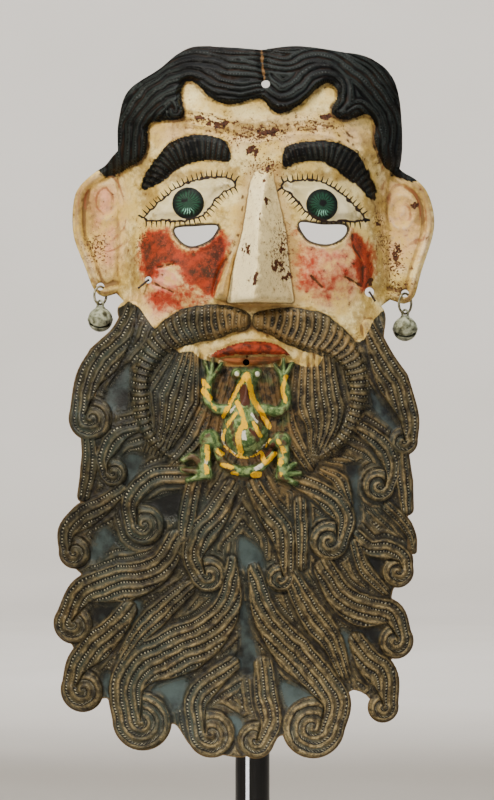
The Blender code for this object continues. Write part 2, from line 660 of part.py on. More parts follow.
def make_hoop(name, side):
    """The bell's wire hoop: through the lobe's hole above and the bell's loop below."""
    (x, y, _), loop_z, hole_z = bell_place(side)
    hoop = make_ring(name, (x, y, (hole_z + loop_z) / 2), (hole_z - loop_z) / 2, HOOP_WIRE, HOOP_TURN)
    coloured(hoop, name + "_wire", "#8f8c74", 0.5, 0.6)
    return hoop


def make_tie_wire(name, mask_faces, hole, end):
    """What is left of a tie: a stub of wire from behind, through the cheek's hole and over its edge."""
    reach = 0.010
    x, _, z = place(hole[0], hole[1], 0)
    across_x, down_z = (end[0] - hole[0]) * UNIT, (end[1] - hole[1]) * UNIT
    edge_y = min(
        surface_y(mask_faces, x + across_x * t + aside, z + down_z * t + below, -1)
        for t in (0.3, 0.5, 0.7, 0.9, 1.1) for aside in (-TIE_WIRE, 0, TIE_WIRE) for below in (-TIE_WIRE, 0, TIE_WIRE)
    )
    out_y = edge_y - TIE_WIRE / 2 - WIRE_CLEARANCE
    curve = bpy.data.curves.new(name, "CURVE")
    curve.dimensions = "3D"
    curve.bevel_depth = TIE_WIRE / 2
    curve.bevel_resolution = 2
    curve.use_fill_caps = True
    line = curve.splines.new("POLY")
    route = [(x, out_y + reach, z), (x, out_y + reach / 2, z), (x, out_y + TIE_WIRE, z)]
    route += [(x + across_x * 0.25, out_y, z + down_z * 0.25), (x + across_x * 0.7, out_y, z + down_z * 0.7)]
    route.append((x + across_x, out_y, z + down_z))
    line.points.add(len(route) - 1)
    for point, at in zip(line.points, route):
        point.co = (*at, 1)
    wire = new_object(name, curve)
    coloured(wire, name + "_metal", "#6f6a55", 0.5, 0.7)
    return wire


def surface_y(faces, x, z, side):
    """Where a line along Y meets the mask: side -1 looks from the front, 1 from behind."""
    hit = faces.ray_cast(Vector((x, side, z)), Vector((0, -side, 0)))[0]
    return hit.y if hit else side * -1.0


def make_block(name, size, centre, bevel):
    body = bmesh.new()
    bmesh.ops.create_cube(body, size=1)
    bmesh.ops.scale(body, vec=size, verts=body.verts[:])
    bmesh.ops.translate(body, vec=centre, verts=body.verts[:])
    thing = object_from(name, body)
    if bevel:
        edge = thing.modifiers.new("bevel", "BEVEL")
        edge.width = bevel
        edge.segments = 2
    return thing


def make_cylinder(name, radius, low, high, axis, centre, segments):
    """A cylinder along Y or Z, from low to high on that axis."""
    body = bmesh.new()
    bmesh.ops.create_cone(body, cap_ends=True, segments=segments, radius1=radius, radius2=radius, depth=high - low)
    if axis == "Y":
        bmesh.ops.rotate(body, cent=(0, 0, 0), matrix=turned_down(math.radians(90)), verts=body.verts[:])
        bmesh.ops.translate(body, vec=(centre[0], (low + high) / 2, centre[1]), verts=body.verts[:])
    else:
        bmesh.ops.translate(body, vec=(centre[0], centre[1], (low + high) / 2), verts=body.verts[:])
    thing = object_from(name, body)
    thing.data.shade_smooth()
    thing.data.set_sharp_from_angle(angle=math.radians(40))
    return thing


def make_stand(mask_faces):
    """A black foot and rod, and two bars behind the face whose felt pads carry the mask."""
    rod_low = BASE_HEIGHT - ROD_SOCKET
    rod_high = MASK_ABOVE_FLOOR + ROD_TOP_SHARE * UNIT
    foot = make_block("stand_base", (BASE_WIDTH, BASE_DEPTH, BASE_HEIGHT), (0, 0, BASE_HEIGHT / 2), BASE_BEVEL)
    socket = make_cylinder("socket", ROD_DIAMETER / 2 + GAP, rod_low - GAP, BASE_HEIGHT + 0.01, "Z", (0, 0), 32)
    joined(foot, socket, "DIFFERENCE")
    coloured(foot, "black_base", "#121212", 0.35, 0.0)
    rod = make_cylinder("stand_rod", ROD_DIAMETER / 2, rod_low, rod_high, "Z", (0, 0), 32)
    coloured(rod, "black_rod", "#0c0c0c", 0.15, 0.0)
    bar_back = -ROD_DIAMETER / 2 - GAP
    bars = (("upper", UPPER_BAR_SHARE, UPPER_BAR_LENGTH), ("lower", LOWER_BAR_SHARE, LOWER_BAR_LENGTH))
    for level, share, length in bars:
        z = MASK_ABOVE_FLOOR + share * UNIT
        bar = make_block("cradle_bar_" + level, (length, BAR_THICKNESS, BAR_HEIGHT),
                         (0, bar_back - BAR_THICKNESS / 2, z), 0)
        coloured(bar, "bar_" + level, "#161616", 0.4, 0.0)
        for side, name in ((-1, "left"), (1, "right")):
            x = side * (length / 2 - PAD_DIAMETER / 2)
            touching = [surface_y(mask_faces, x, z, 1)]
            for k in range(24):
                around = 2 * math.pi * k / 24
                for share_out in (0.5, 1.0):
                    across_x = PAD_DIAMETER / 2 * share_out * math.cos(around)
                    up_z = PAD_DIAMETER / 2 * share_out * math.sin(around)
                    touching.append(surface_y(mask_faces, x + across_x, z + up_z, 1))
            front = max(touching) + GAP
            back = bar_back - BAR_THICKNESS - GAP
            pad = make_cylinder(f"pad_{level}_{name}", PAD_DIAMETER / 2, front, back, "Y", (x, z), 20)
            coloured(pad, f"felt_{level}_{name}", "#1b1b1c", 0.95, 0.0)


for old in list(bpy.data.objects):
    bpy.data.objects.remove(old, do_unlink=True)

mask = make_mask()
whole = bmesh.new()
whole.from_mesh(mask.data)
mask_faces = BVHTree.FromBMesh(whole)
whole.free()
for side, side_name in ((0, "left"), (1, "right")):
    make_bell("bell_" + side_name, side)
    make_hoop("earring_hoop_" + side_name, side)
make_tie_wire("tie_wire_left", mask_faces, TIE_HOLES[0], (-72.5, 295.5))
make_tie_wire("tie_wire_right", mask_faces, TIE_HOLES[1], (78, 287.5))
make_stand(mask_faces)
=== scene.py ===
# A painted folk mask of beaten copper on a black museum rod.
# The mask is a sheet whose relief is worked out point by point: (u, v) are millimetres on the
# mask, u to the viewer's right of the middle, v up from the beard's lowest edge.
import math

import bmesh
import bpy
import numpy as np
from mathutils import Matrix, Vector
from mathutils.geometry import delaunay_2d_cdt


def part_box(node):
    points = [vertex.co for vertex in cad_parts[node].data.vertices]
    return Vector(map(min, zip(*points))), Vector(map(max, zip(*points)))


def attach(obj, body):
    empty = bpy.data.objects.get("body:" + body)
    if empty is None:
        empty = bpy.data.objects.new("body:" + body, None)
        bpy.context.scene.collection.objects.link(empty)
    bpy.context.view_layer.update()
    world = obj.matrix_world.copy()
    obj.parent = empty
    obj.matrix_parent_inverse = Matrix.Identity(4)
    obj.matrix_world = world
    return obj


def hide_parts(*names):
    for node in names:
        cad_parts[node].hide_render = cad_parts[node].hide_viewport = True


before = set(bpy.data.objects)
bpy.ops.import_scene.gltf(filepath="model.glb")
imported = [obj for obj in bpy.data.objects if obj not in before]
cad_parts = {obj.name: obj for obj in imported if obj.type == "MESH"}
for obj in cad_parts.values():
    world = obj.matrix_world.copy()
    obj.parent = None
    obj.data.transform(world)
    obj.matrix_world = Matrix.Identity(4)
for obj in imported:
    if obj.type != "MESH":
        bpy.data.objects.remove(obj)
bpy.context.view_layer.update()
bpy.ops.object.select_all(action="DESELECT")
print("frame loaded:", ", ".join(sorted(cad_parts)))


def linearColour(code):
    parts = [int(code[i:i + 2], 16) / 255 for i in (1, 3, 5)]
    return tuple(p / 12.92 if p <= 0.04045 else ((p + 0.055) / 1.055) ** 2.4 for p in parts) + (1.0,)


def connect(tree, node, links):
    # links: what goes into the node's inputs, by name or number - a node, a socket, a colour or a value
    for key, value in links.items():
        if isinstance(key, int):
            socket = node.inputs[key]
        else:
            socket = next(found for found in node.inputs if found.name == key and found.enabled)
        if isinstance(value, bpy.types.Node):
            value = next(found for found in value.outputs if found.enabled)
        if isinstance(value, bpy.types.NodeSocket):
            tree.links.new(value, socket)
        elif isinstance(value, str):
            socket.default_value = linearColour(value)
        else:
            socket.default_value = value


def addNode(tree, kind, settings=None, links=None):
    # settings: the node's own properties, and the stops of a colour ramp
    node = tree.nodes.new(kind)
    for name, value in (settings or {}).items():
        if name == "stops":
            ramp = node.color_ramp.elements
            while len(ramp) < len(value):
                ramp.new(0.5)
            for stop, (place, code) in zip(ramp, value):
                stop.position, stop.color = place, linearColour(code)
        else:
            setattr(node, name, value)
    connect(tree, node, links or {})
    return node


# The mask's size and place, and how finely it is made.
mask = {
    "height": 0.450,
    "aboveFloor": 0.110,
    "rear": 0.018,
    "sheet": 0.0012,
    "gridStep": 0.65,
    "backStep": 2.6,
    "frontTriangles": 160000,
    "keepFine": 0.22,
    "lockHeight": 3.6,
    "edge": 2.2,
    "strandPitch": 5.3,
    "strandDepth": 1.7,
    "combPitch": 4.5,
    "browPitch": 3.7,
    "hairPitch": 5.4,
    "hammer": 0.3,
    "backGap": 0.0006,
}
unit = mask["height"] / 450    # a millimetre of the tables below, in metres

# How far each form stands out from the bent sheet, in millimetres.
relief = {
    "moustache": 7.0,
    "brow": 5.0,
    "socket": 4.0,
    "cheek": 4.0,
    "lid": 4.5,
    "iris": 2.6,
    "slitRim": 0.8,
    "crease": 1.3,
    "hair": 5.0,
    "hairCord": 1.6,
    "parting": 3.5,
    "wing": 12.0,
    "lip": 6.0,
    "underLip": 4.5,
    "frog": 12.0,
    "frogLimb": 7.0,
    "frogBoss": 8.0,
    "ear": 9.0,
}

# Each lock: middle line, widths at root, half way and curl, then the curl's centre, radius and
# winding (1 is counter-clockwise to the viewer).
beardLocks = [
    ([(-77, 284), (-83, 266), (-94, 251), (-104, 238)], (9, 23, 11), (-102.5, 213.5), 14.5, 1),
    ([(-71.6, 209), (-83.5, 204), (-91, 195), (-95.3, 187)], (9, 15, 7), (-88, 179), 9.5, 1),
    ([(-104, 200), (-103, 190), (-104, 178), (-107, 164)], (10, 12, 9), None, 0, 0),
    ([(-83.5, 168), (-97, 157), (-110, 149), (-118, 141)], (10, 18, 8), (-113, 128), 10.5, 1),
    ([(-44, 178), (-59, 177.5), (-71, 170), (-78, 159)], (14, 15, 10), (-68.5, 146), 13.5, 1),
    ([(-14, 170), (-22, 154), (-31, 141), (-38, 127)], (12, 20, 11), (-28, 115), 12, 1),
    ([(-37, 172), (-41, 152), (-44, 128)], (12, 13, 8), None, 0, 0),
    ([(-49, 137), (-57, 121), (-72, 112), (-92, 107.5), (-108, 103)], (14, 27, 12), (-114, 82.5), 13, 1),
    ([(-79, 92), (-89, 79), (-101, 67), (-111, 57)], (14, 22, 10), (-108.5, 40), 14, 1),
    ([(-13, 124), (-15, 98), (-28, 78), (-50, 65), (-70, 57), (-80, 43)], (8, 34, 19),
    (-70, 21.5), 19, 1),
    ([(-41, 106), (-57, 92), (-70, 79), (-81, 63)], (12, 17, 10), None, 0, 0),
    ([(-13, 58), (-26, 47), (-36, 34)], (12, 18, 12), (-26, 14), 15.5, 1),
    ([(-39.6, 254), (-43, 239.5), (-46.3, 225), (-49.7, 211.6), (-54.8, 199)], (14, 28, 14), None, 0, 0),
    ([(-28, 224), (-33.7, 207), (-41, 195), (-50, 186)], (10, 14, 9), None, 0, 0),
    ([(74, 272), (82, 250), (91, 232), (99, 214)], (10, 22, 9), (95.5, 199), 9.5, -1),
    ([(66, 209), (78.2, 200), (85.8, 190.5), (89, 179)], (10, 15, 8), (80, 171), 11, -1),
    ([(95, 190), (96, 174), (98, 156)], (9, 12, 9), None, 0, 0),
    ([(66.7, 140.2), (74.3, 131.5), (86.5, 130), (96, 126)], (8, 15, 8), (92, 116.3), 10.5, -1),
    ([(86, 157), (95, 148), (101, 138), (102.5, 129)], (9, 9, 4), None, 0, 0),
    ([(46, 118), (56, 101), (70, 91.5), (88, 90)], (16, 23, 10), (91, 72), 11.5, -1),
    ([(64.8, 134), (71, 118), (84, 104)], (8, 11, 8), None, 0, 0),
    ([(29, 174), (41, 168), (52, 159.3), (59, 149)], (12, 18, 9), (48.5, 136), 13, -1),
    ([(45, 180), (55, 174), (61, 160)], (8, 12, 7), None, 0, 0),
    ([(1, 171), (9, 156), (19, 139)], (12, 18, 8), (17.5, 112.5), 9.5, -1),
    ([(30, 160), (31, 140), (31, 120)], (10, 10, 8), None, 0, 0),
    ([(1, 118), (8, 90), (24, 67.5), (42, 49), (53, 34)], (10, 26, 16), (38.5, 18), 20, -1),
    ([(25, 112), (37.4, 90), (50.7, 71.3), (58, 52)], (14, 20, 10), None, 0, 0),
    ([(66, 73), (74, 59), (84, 48)], (12, 22, 10), (83, 30), 10, -1),
    ([(7, 57), (8.5, 38), (12, 22)], (14, 17, 12), (2, 10), 12, -1),
    ([(41, 248), (42, 228), (44, 210), (40, 190)], (24, 32, 10), None, 0, 0),
    ([(20.8, 224), (24.2, 205), (30, 193), (36, 183)], (8, 13, 9), None, 0, 0),
]
# Smooth hollows between the locks: each outline, then how strong a slate painted reflection shows on its
# black paint.
hollows = [
    ([(-78, 247), (-77.6, 222), (-82, 217), (-92, 219), (-93, 229), (-88, 237)], -0.2),
    ([(-82, 189), (-72, 191), (-68, 188), (-77, 171), (-82, 171)], 0.1),
    ([(-66, 161), (-44, 167), (-44, 152), (-57, 151), (-67, 158)], -0.9),
    ([(-97, 143), (-90, 143), (-86, 135), (-99, 122), (-104, 125)], 0.3),
    ([(-101, 93), (-86, 94), (-84, 88), (-98, 82), (-101, 85)], -0.7),
    ([(-77, 97), (-70, 97), (-72, 86), (-77, 75)], 0.6),
    ([(-96, 50), (-89, 51), (-88, 37), (-93, 35)], 0.4),
    ([(-63, 42), (-43, 49), (-43, 38), (-48, 28), (-52, 31), (-56, 38)], 0.7),
    ([(-18, 23), (-9, 26), (-4, 14), (-12, 11)], 0.2),
    ([(74, 231), (79, 227), (90, 213), (93, 203), (87, 207), (76, 219)], 0.0),
    ([(58, 183), (68, 184), (67, 170), (68.5, 152), (65.5, 147), (63, 158), (62, 172)], 0.0),
    ([(73, 126), (82, 126), (80.5, 113), (76, 117)], -0.6),
    ([(18.5, 47), (34, 41), (45, 31), (43, 25), (29, 24), (20, 33)], 0.8),
    ([(55, 79), (61, 78), (62, 66), (59.5, 58), (57, 68)], 0.6),
    ([(64, 80), (84, 79), (82, 70), (70, 71)], -0.5),
    ([(-8, 139), (3, 133), (8, 122), (3, 117), (-6, 119), (-9, 128)], 0.5),
    ([(-9, 92), (-4, 97), (-1, 84), (3.5, 64), (3, 53), (-5, 50), (-10, 57), (-8, 74)], 0.1),
]
hairLocks = [
    ([(-78, 372), (-77, 390), (-72, 406), (-58, 419), (-44, 427), (-34, 427), (-22, 421), (-8, 419),
      (5, 421)],
     (22, 26, 14), None, 0, 0),
    ([(-66, 428), (-48, 438), (-34, 441), (-18, 437), (-6, 435), (4, 433)], (10, 18, 14), None, 0, 0),
    ([(-30, 446), (-14, 443), (3, 443)], (6, 9, 8), None, 0, 0),
    ([(-70, 396), (-62, 406), (-52, 414)], (12, 12, 8), (-49, 407), 7, -1),
    ([(10, 422), (17, 416), (27, 419), (39, 429), (51, 431), (59, 424), (60, 413)], (16, 19, 10),
    (54, 407), 6, -1),
    ([(8, 440), (21, 437), (34, 443), (48, 443), (60, 436), (71, 427), (82, 415), (89, 400),
      (89, 386), (88, 372)],
     (12, 18, 14), None, 0, 0),
    ([(60, 408), (68, 412), (77, 404), (81, 390), (82, 376)], (8, 12, 10), None, 0, 0),
    ([(10, 447), (24, 446), (40, 449)], (5, 6, 5), None, 0, 0),
    ([(62, 445), (78, 436), (90, 420)], (8, 9, 6), None, 0, 0),
]
moustache = [
    ([(-8, 275), (-15, 275.5), (-25, 274), (-40, 271.5), (-53, 265), (-64, 254), (-70, 240),
      (-70.5, 222), (-67, 207),
      (-60, 196), (-50, 188)], (15, 24, 24, 19, 15.5, 14.5, 13.5, 11, 7)),
    ([(6, 274.5), (14, 274), (28, 270.5), (43, 266), (56, 257.5), (64.5, 246), (67.5, 232), (65, 215),
      (57, 200.5),
      (44, 190)], (14, 24, 28, 22, 17, 14.5, 13, 11, 8)),
]
headLine = [
    (5, 447), (-15, 448.5), (-40, 448.5), (-60, 434), (-79, 421), (-85, 402), (-85.5, 384),
    (-84, 360), (-83, 320),
    (-80, 289), (-60, 268), (0, 262), (60, 268), (77.5, 288), (83, 320), (86, 355), (94, 372),
    (95.5, 398),
    (91, 428), (76, 442.5), (54, 446.5), (30, 449.5), (14, 448.2),
]
beardLine = [
    (-79.5, 289), (-84, 268), (-97, 240), (-104, 205), (-104, 168), (-113, 148), (-115, 122),
    (-108, 112),
    (-114, 96), (-119, 78), (-112, 62), (-112, 42), (-97, 35), (-90, 34), (-80, 14), (-62, 10),
    (-50, 20),
    (-38, 5), (-20, 0.5), (-5, -1), (10, 6), (20, 13), (32, 4), (46, 3), (57, 18), (61, 40), (72, 38),
    (78, 30), (87, 34), (87, 58), (95, 68), (96, 80), (89, 92), (89, 104), (96, 116), (99, 132),
    (98, 160),
    (98, 195), (101, 214), (97, 236), (84, 260), (77.5, 288), (0, 300),
]
ears = [
    [(-80, 378), (-95, 374), (-110, 362), (-114.5, 350), (-114.3, 330), (-107, 310), (-101.5, 296),
     (-95, 290.8),
     (-87, 293), (-78, 292)],
    [(80, 374), (98, 369.5), (110, 360.5), (115.6, 346), (115.5, 331), (108, 307), (103.5, 291),
     (97, 286.4),
     (88, 289), (78, 290)],
]
hairLine = [
    (-66, 384), (-65, 398), (-56, 400.5), (-46, 401), (-42, 405), (-44.4, 417), (-42, 425),
    (-36, 424), (-27, 415),
    (-15, 410), (-1, 413.4), (5, 414), (12, 406.6), (18, 404.3), (30, 410), (44, 423), (50, 424),
    (53, 418),
    (49, 407), (56, 401), (66, 403), (73, 405), (77, 398), (77, 388), (86, 371), (110, 371), (110, 462),
    (-100, 462), (-100, 374), (-74, 374),
]
brows = [
    [(-71, 357.4), (-68, 368.7), (-60, 380), (-51, 389), (-35, 393), (-19.5, 390), (-13.3, 382),
     (-14.4, 374.3),
     (-29.7, 375), (-46.6, 371), (-56, 363), (-64.7, 359)],
    [(19.6, 384), (32.6, 388.5), (49.6, 389), (63, 384.5), (71, 376), (79.5, 356), (74.4, 352.3),
     (67.6, 359.6),
     (58.6, 365), (46, 373.8), (31.5, 374.3), (19, 371)],
]
browMiddles = [
    [(-70, 352), (-64, 365), (-54, 377), (-42, 382), (-28, 383), (-8, 377)],
    [(12, 377), (30, 381), (48, 382), (61, 375), (71, 364), (79, 348)],
]
eyes = [
    [(-10, 361.3), (-24, 365.3), (-42, 361.3), (-54.5, 353.4), (-68.7, 340), (-57, 338.7), (-43, 338.2),
     (-31, 342), (-20.6, 354)],
    [(18.5, 360.6), (30, 363.3), (44, 362), (57.5, 354), (70.5, 340), (58.6, 338.2), (45, 338.2),
     (34.3, 343.8),
     (24, 355)],
]
irises = [(-40.6, 349, 9.7), (43.9, 348, 10)]
slits = [
    [(-49, 333), (-36, 334.4), (-22.5, 334.8), (-23, 331), (-27.5, 325.6), (-37.6, 321.8), (-45, 325)],
    [(29.8, 336.6), (44, 335.6), (58.4, 335.3), (58.2, 329), (49.6, 323.6), (40.5, 323.8),
     (33.7, 327.4)],
]
noseWing = [(-11, 322), (-18, 310), (-24.6, 297), (-24.8, 288), (-14, 286.5), (-12, 300)]
lips = [
    (-29, 251.5), (-23.6, 256.4), (-14.2, 260.3), (-3.2, 262.7), (11, 262.2), (18.9, 258.9),
    (26, 252), (17.3, 252.4),
    (7.9, 252.6), (-3.2, 252.4), (-14.2, 251.8), (-23.6, 250.6),
]
underLip = [(-22, 251.5), (-8, 252.5), (8, 253), (20, 252), (14, 247.5), (3, 246), (-8, 246), (-17, 248)]
frogBody = [
    (-4.3, 246), (-11.5, 242), (-11, 233), (-15.5, 222), (-18.6, 212), (-18.6, 201), (-13.5, 192.5),
    (-4.6, 188.5),
    (3, 191), (8.8, 197), (11, 207), (8, 217), (3.5, 231), (4.6, 241),
]
frogLimbs = [
    ([(-14, 219), (-23, 219.5), (-28.5, 226), (-26.6, 239)], (9, 8, 7)),
    ([(7, 219), (17, 218), (21.5, 226), (19, 240)], (9, 8, 7)),
    ([(-22, 196), (-27.5, 201), (-29.5, 190), (-28, 178)], (8, 10, 8)),
    ([(-23, 194), (-17, 184), (-5, 180), (5, 183), (12, 191)], (7, 8.5, 7)),
    ([(12, 198), (18, 199), (19.5, 189), (17.5, 177)], (8, 10, 8)),
    ([(-26.5, 239), (-30, 249)], (5, 4.6, 4)), ([(-26, 240), (-25, 251)], (5, 4.6, 4)),
    ([(-25, 239), (-19.5, 248)], (5, 4.6, 4)), ([(18.5, 240), (14, 247)], (5, 4.6, 4)),
    ([(19.5, 240), (19.5, 250.5)], (5, 4.6, 4)), ([(20, 240), (25, 248)], (5, 4.6, 4)),
    ([(-30, 180), (-37, 189), (-43.5, 187)], (8, 7, 5.5)), ([(-31, 179), (-44, 181)], (8, 6.5, 5.5)),
    ([(-30, 178), (-41, 174.5)], (8, 6.5, 5)), ([(18, 179), (27, 185)], (8, 6.5, 5)),
    ([(18, 178), (30, 179)], (8, 6.5, 5)), ([(18, 177), (27, 172.5)], (8, 6.5, 5)),
]
frogBosses = [(-9.7, 241.5, 4.2), (2.6, 241.5, 4.2), (-27, 200, 7), (18, 199, 6.5)]
earMiddles = [(-94, 352), (96, 345)]
creases = [
    [(-42, 406), (-24, 402.6), (-8, 397), (6.6, 398), (24.7, 403), (32, 404)],
    [(-40, 401.5), (-23, 398), (-7, 391), (6.6, 394.7), (29, 399), (52, 397), (65, 390)],
    [(-42, 397), (-20, 393), (1, 389.5), (29, 394.7), (50, 393.5), (67.6, 384.5)],
    [(-60, 309), (-50, 311)],
    [(-63, 299), (-50, 293)],
    [(58.6, 303), (69, 297)],
    [(37, 303), (44, 296)],
    [(63, 330), (64, 322), (69.3, 313), (70, 300)],
    [(-6, 356), (-8, 333.6), (-13, 319), (-21, 306), (-24.6, 291)],
]
parting = [(8, 424), (6.5, 436), (5.5, 448)]
holes = {"hair": (8.3, 424, 2.7), "mouth": (-4, 248.6, 2.1), "ties": [(-66, 301, 2.2), (74.4, 293.5, 3.0)]}
earring = {
    "holes": [(-97.2, 297.4), (97.6, 293)],
    "bells": [(-97.5, 276.3), (98.8, 270.4)],
    "hoopWire": 0.0016,
    "hoopTurn": math.radians(40),
    "clearance": 0.0011,
}


def spline(points, step=2.0, closed=False):
    points = np.array(points, float)
    count = len(points)
    found = []
    for i in range(count if closed else count - 1):
        p1, p2 = points[i], points[(i + 1) % count]
        p0 = points[i - 1] if closed or i else 2 * p1 - p2
        p3 = points[(i + 2) % count] if closed or i + 2 < count else 2 * p2 - p1
        parts = max(2, int(np.hypot(*(p2 - p1)) / step))
        t = (np.arange(parts) / parts)[:, None]
        found.append(0.5 * (2 * p1 + (p2 - p0) * t + (2 * p0 - 5 * p1 + 4 * p2 - p3) * t**2
                            + (3 * p1 - p0 - 3 * p2 + p3) * t**3))
    if not closed:
        found.append(points[-1:])
    return np.concatenate(found)


def across(path, u, v):
    # distance to the path, distance to its left, share of the way along
    start, run = path[:-1], path[1:] - path[:-1]
    length = np.hypot(run[:, 0], run[:, 1])
    total = np.concatenate([[0], np.cumsum(length)])
    apart, side, share = np.empty(len(u)), np.empty(len(u)), np.empty(len(u))
    block = 20000
    for first in range(0, len(u), block):
        some = slice(first, first + block)
        du, dv = u[some, None] - start[:, 0], v[some, None] - start[:, 1]
        t = np.clip((du * run[:, 0] + dv * run[:, 1]) / length**2, 0, 1)
        away = np.hypot(du - t * run[:, 0], dv - t * run[:, 1])
        nearest = away.argmin(axis=1)
        rows = np.arange(len(nearest))
        apart[some] = away[rows, nearest]
        turned = run[nearest, 0] * dv[rows, nearest] - run[nearest, 1] * du[rows, nearest]
        side[some] = turned / length[nearest]
        share[some] = (total[nearest] + t[rows, nearest] * length[nearest]) / total[-1]
    return apart, side, share


def lengthOf(path):
    return float(np.hypot(*(path[1:] - path[:-1]).T).sum())


def inside(outline, u, v):
    closed = np.vstack([outline, outline[:1]])
    apart, _, _ = across(closed, u, v)
    a, b = closed[:-1], closed[1:]
    rise = np.where(b[:, 1] == a[:, 1], 1, b[:, 1] - a[:, 1])
    odd = np.zeros(len(u), bool)
    block = 20000
    for first in range(0, len(u), block):
        some = slice(first, first + block)
        spans = (a[:, 1] > v[some, None]) != (b[:, 1] > v[some, None])
        left = u[some, None] < (b[:, 0] - a[:, 0]) * (v[some, None] - a[:, 1]) / rise + a[:, 0]
        odd[some] = (spans & left).sum(axis=1) % 2 == 1
    return np.where(odd, apart, -apart)


def near(outline, u, v, margin):
    low, high = outline.min(axis=0) - margin, outline.max(axis=0) + margin
    return (u > low[0]) & (u < high[0]) & (v > low[1]) & (v < high[1])


def insideOf(outline, u, v, margin=8.0):
    # distance in from a closed outline, negative outside, no lower than -margin
    found = np.full(len(u), -margin)
    close = near(outline, u, v, margin)
    found[close] = np.maximum(inside(outline, u[close], v[close]), -margin)
    return found


def smooth(x, low=0.0, high=1.0):
    t = np.clip((x - low) / (high - low), 0, 1)
    return t * t * (3 - 2 * t)


def dome(x):
    return np.sqrt(np.clip(1 - x * x, 0, 1))


def widthAt(widths, share):
    return np.interp(share, np.linspace(0, 1, len(widths)), widths)


def pathOf(lock):
    # a lock's middle line, run on until it touches its curl's round
    points, widths, centre, radius, turn = lock
    if not centre:
        return spline(points, 2)
    ring = radius - widths[2] / 2
    away = np.array(points[-1], float) - centre
    swing = math.acos(min(1, ring / np.hypot(*away))) * turn
    angle = math.atan2(away[1], away[0]) + swing
    touch = (centre[0] + ring * math.cos(angle), centre[1] + ring * math.sin(angle))
    return spline([*points, touch], 2)


def noise(u, v, size, seed):
    # smooth value noise from a hashed lattice, about -1 to 1
    x, y = u / size + seed * 17.3, v / size + seed * 5.7
    i, j = np.floor(x), np.floor(y)
    fx, fy = smooth(x - i), smooth(y - j)

    def corner(a, b):
        value = np.sin(a * 127.1 + b * 311.7 + seed * 74.7) * 43758.5453
        return (value - np.floor(value)) * 2 - 1

    low = corner(i, j) * (1 - fx) + corner(i + 1, j) * fx
    high = corner(i, j + 1) * (1 - fx) + corner(i + 1, j + 1) * fx
    return low * (1 - fy) + high * fy


lines = {
    "locks": [pathOf(lock) for lock in beardLocks],
    "hairLocks": [pathOf(lock) for lock in hairLocks],
    "moustache": [spline(points, 2) for points, _ in moustache],
    "limbs": [spline(points, 2) for points, _ in frogLimbs],
    "head": spline(headLine, 3, True),
    "beard": spline(beardLine, 3, True),
    "ears": [spline(ear, 3, True) for ear in ears],
    "hair": spline(hairLine, 2, True),
    "brows": [spline(brow, 2, True) for brow in brows],
    "browMiddles": [spline(points, 2) for points in browMiddles],
    "eyes": [spline(eye, 1.5, True) for eye in eyes],
    "slits": [spline(slit, 1.5, True) for slit in slits],
    "wing": spline(noseWing, 2, True),
    "lips": spline(lips, 2, True),
    "underLip": spline(underLip, 2, True),
    "frog": spline(frogBody, 2, True),
    "creases": [spline(crease, 2) for crease in creases],
    "parting": spline(parting, 2),
    "hollows": [spline(points, 2, True) for points, _ in hollows],
}


def material(u, v):
    # positive on the sheet, negative off it: about the distance to its edge
    found = np.maximum(insideOf(lines["head"], u, v), insideOf(lines["beard"], u, v))
    for line in lines["ears"]:
        found = np.maximum(found, insideOf(line, u, v))
    for lock, path in zip(beardLocks, lines["locks"]):
        _, widths, centre, radius, _ = lock
        close = near(path, u, v, max(widths))
        apart, _, share = across(path, u[close], v[close])
        found[close] = np.maximum(found[close], widthAt(widths, share) / 2 - apart)
        if centre:
            found = np.maximum(found, radius - np.hypot(u - centre[0], v - centre[1]))
    for line in lines["slits"]:
        found = np.minimum(found, -insideOf(line, u, v))
    hoopHole = (earring["hoopWire"] / 2 + earring["clearance"]) / unit / math.cos(earring["hoopTurn"])
    rounds = [holes["hair"], holes["mouth"], *holes["ties"]]
    rounds += [(*place, hoopHole) for place in earring["holes"]]
    for u0, v0, radius in rounds:
        found = np.minimum(found, np.hypot(u - u0, v - v0) - radius)
    return found


def baseForm(u, v):
    # the bent sheet before the relief
    u = np.abs(u)
    half = 90 + 10 * smooth(v, 366, 384)
    face = 50 * np.clip(1 - (u / half) ** 2.6, 0, 1) ** 0.75
    face = face - 24 * np.clip((v - 395) / 53, 0, 1.2) ** 2
    slope = 22 + 14 * smooth(v, 200, 280)
    beard = 48 - slope * (u / 110) ** 2.2 - 12 * np.clip((200 - v) / 200, 0, 1.1) ** 1.5
    blend = smooth(v, 262, 294)
    return face * blend + beard * (1 - blend)


def ridges(phase):
    # a rounded strand at whole phases, a sharp groove at one side of it, then a low band for its beads
    t = phase - np.floor(phase)
    return np.interp(t, (0, 0.14, 0.26, 0.33, 0.42, 0.54, 0.68, 0.86, 1),
                     (1, 0.9, 0.5, 0, 0.4, 0.45, 0.3, 0.8, 1))


def cords(phase):
    # wide rounded cords with narrow grooves at whole phases
    return 1 - (0.5 + 0.5 * np.cos(2 * math.pi * phase)) ** 3


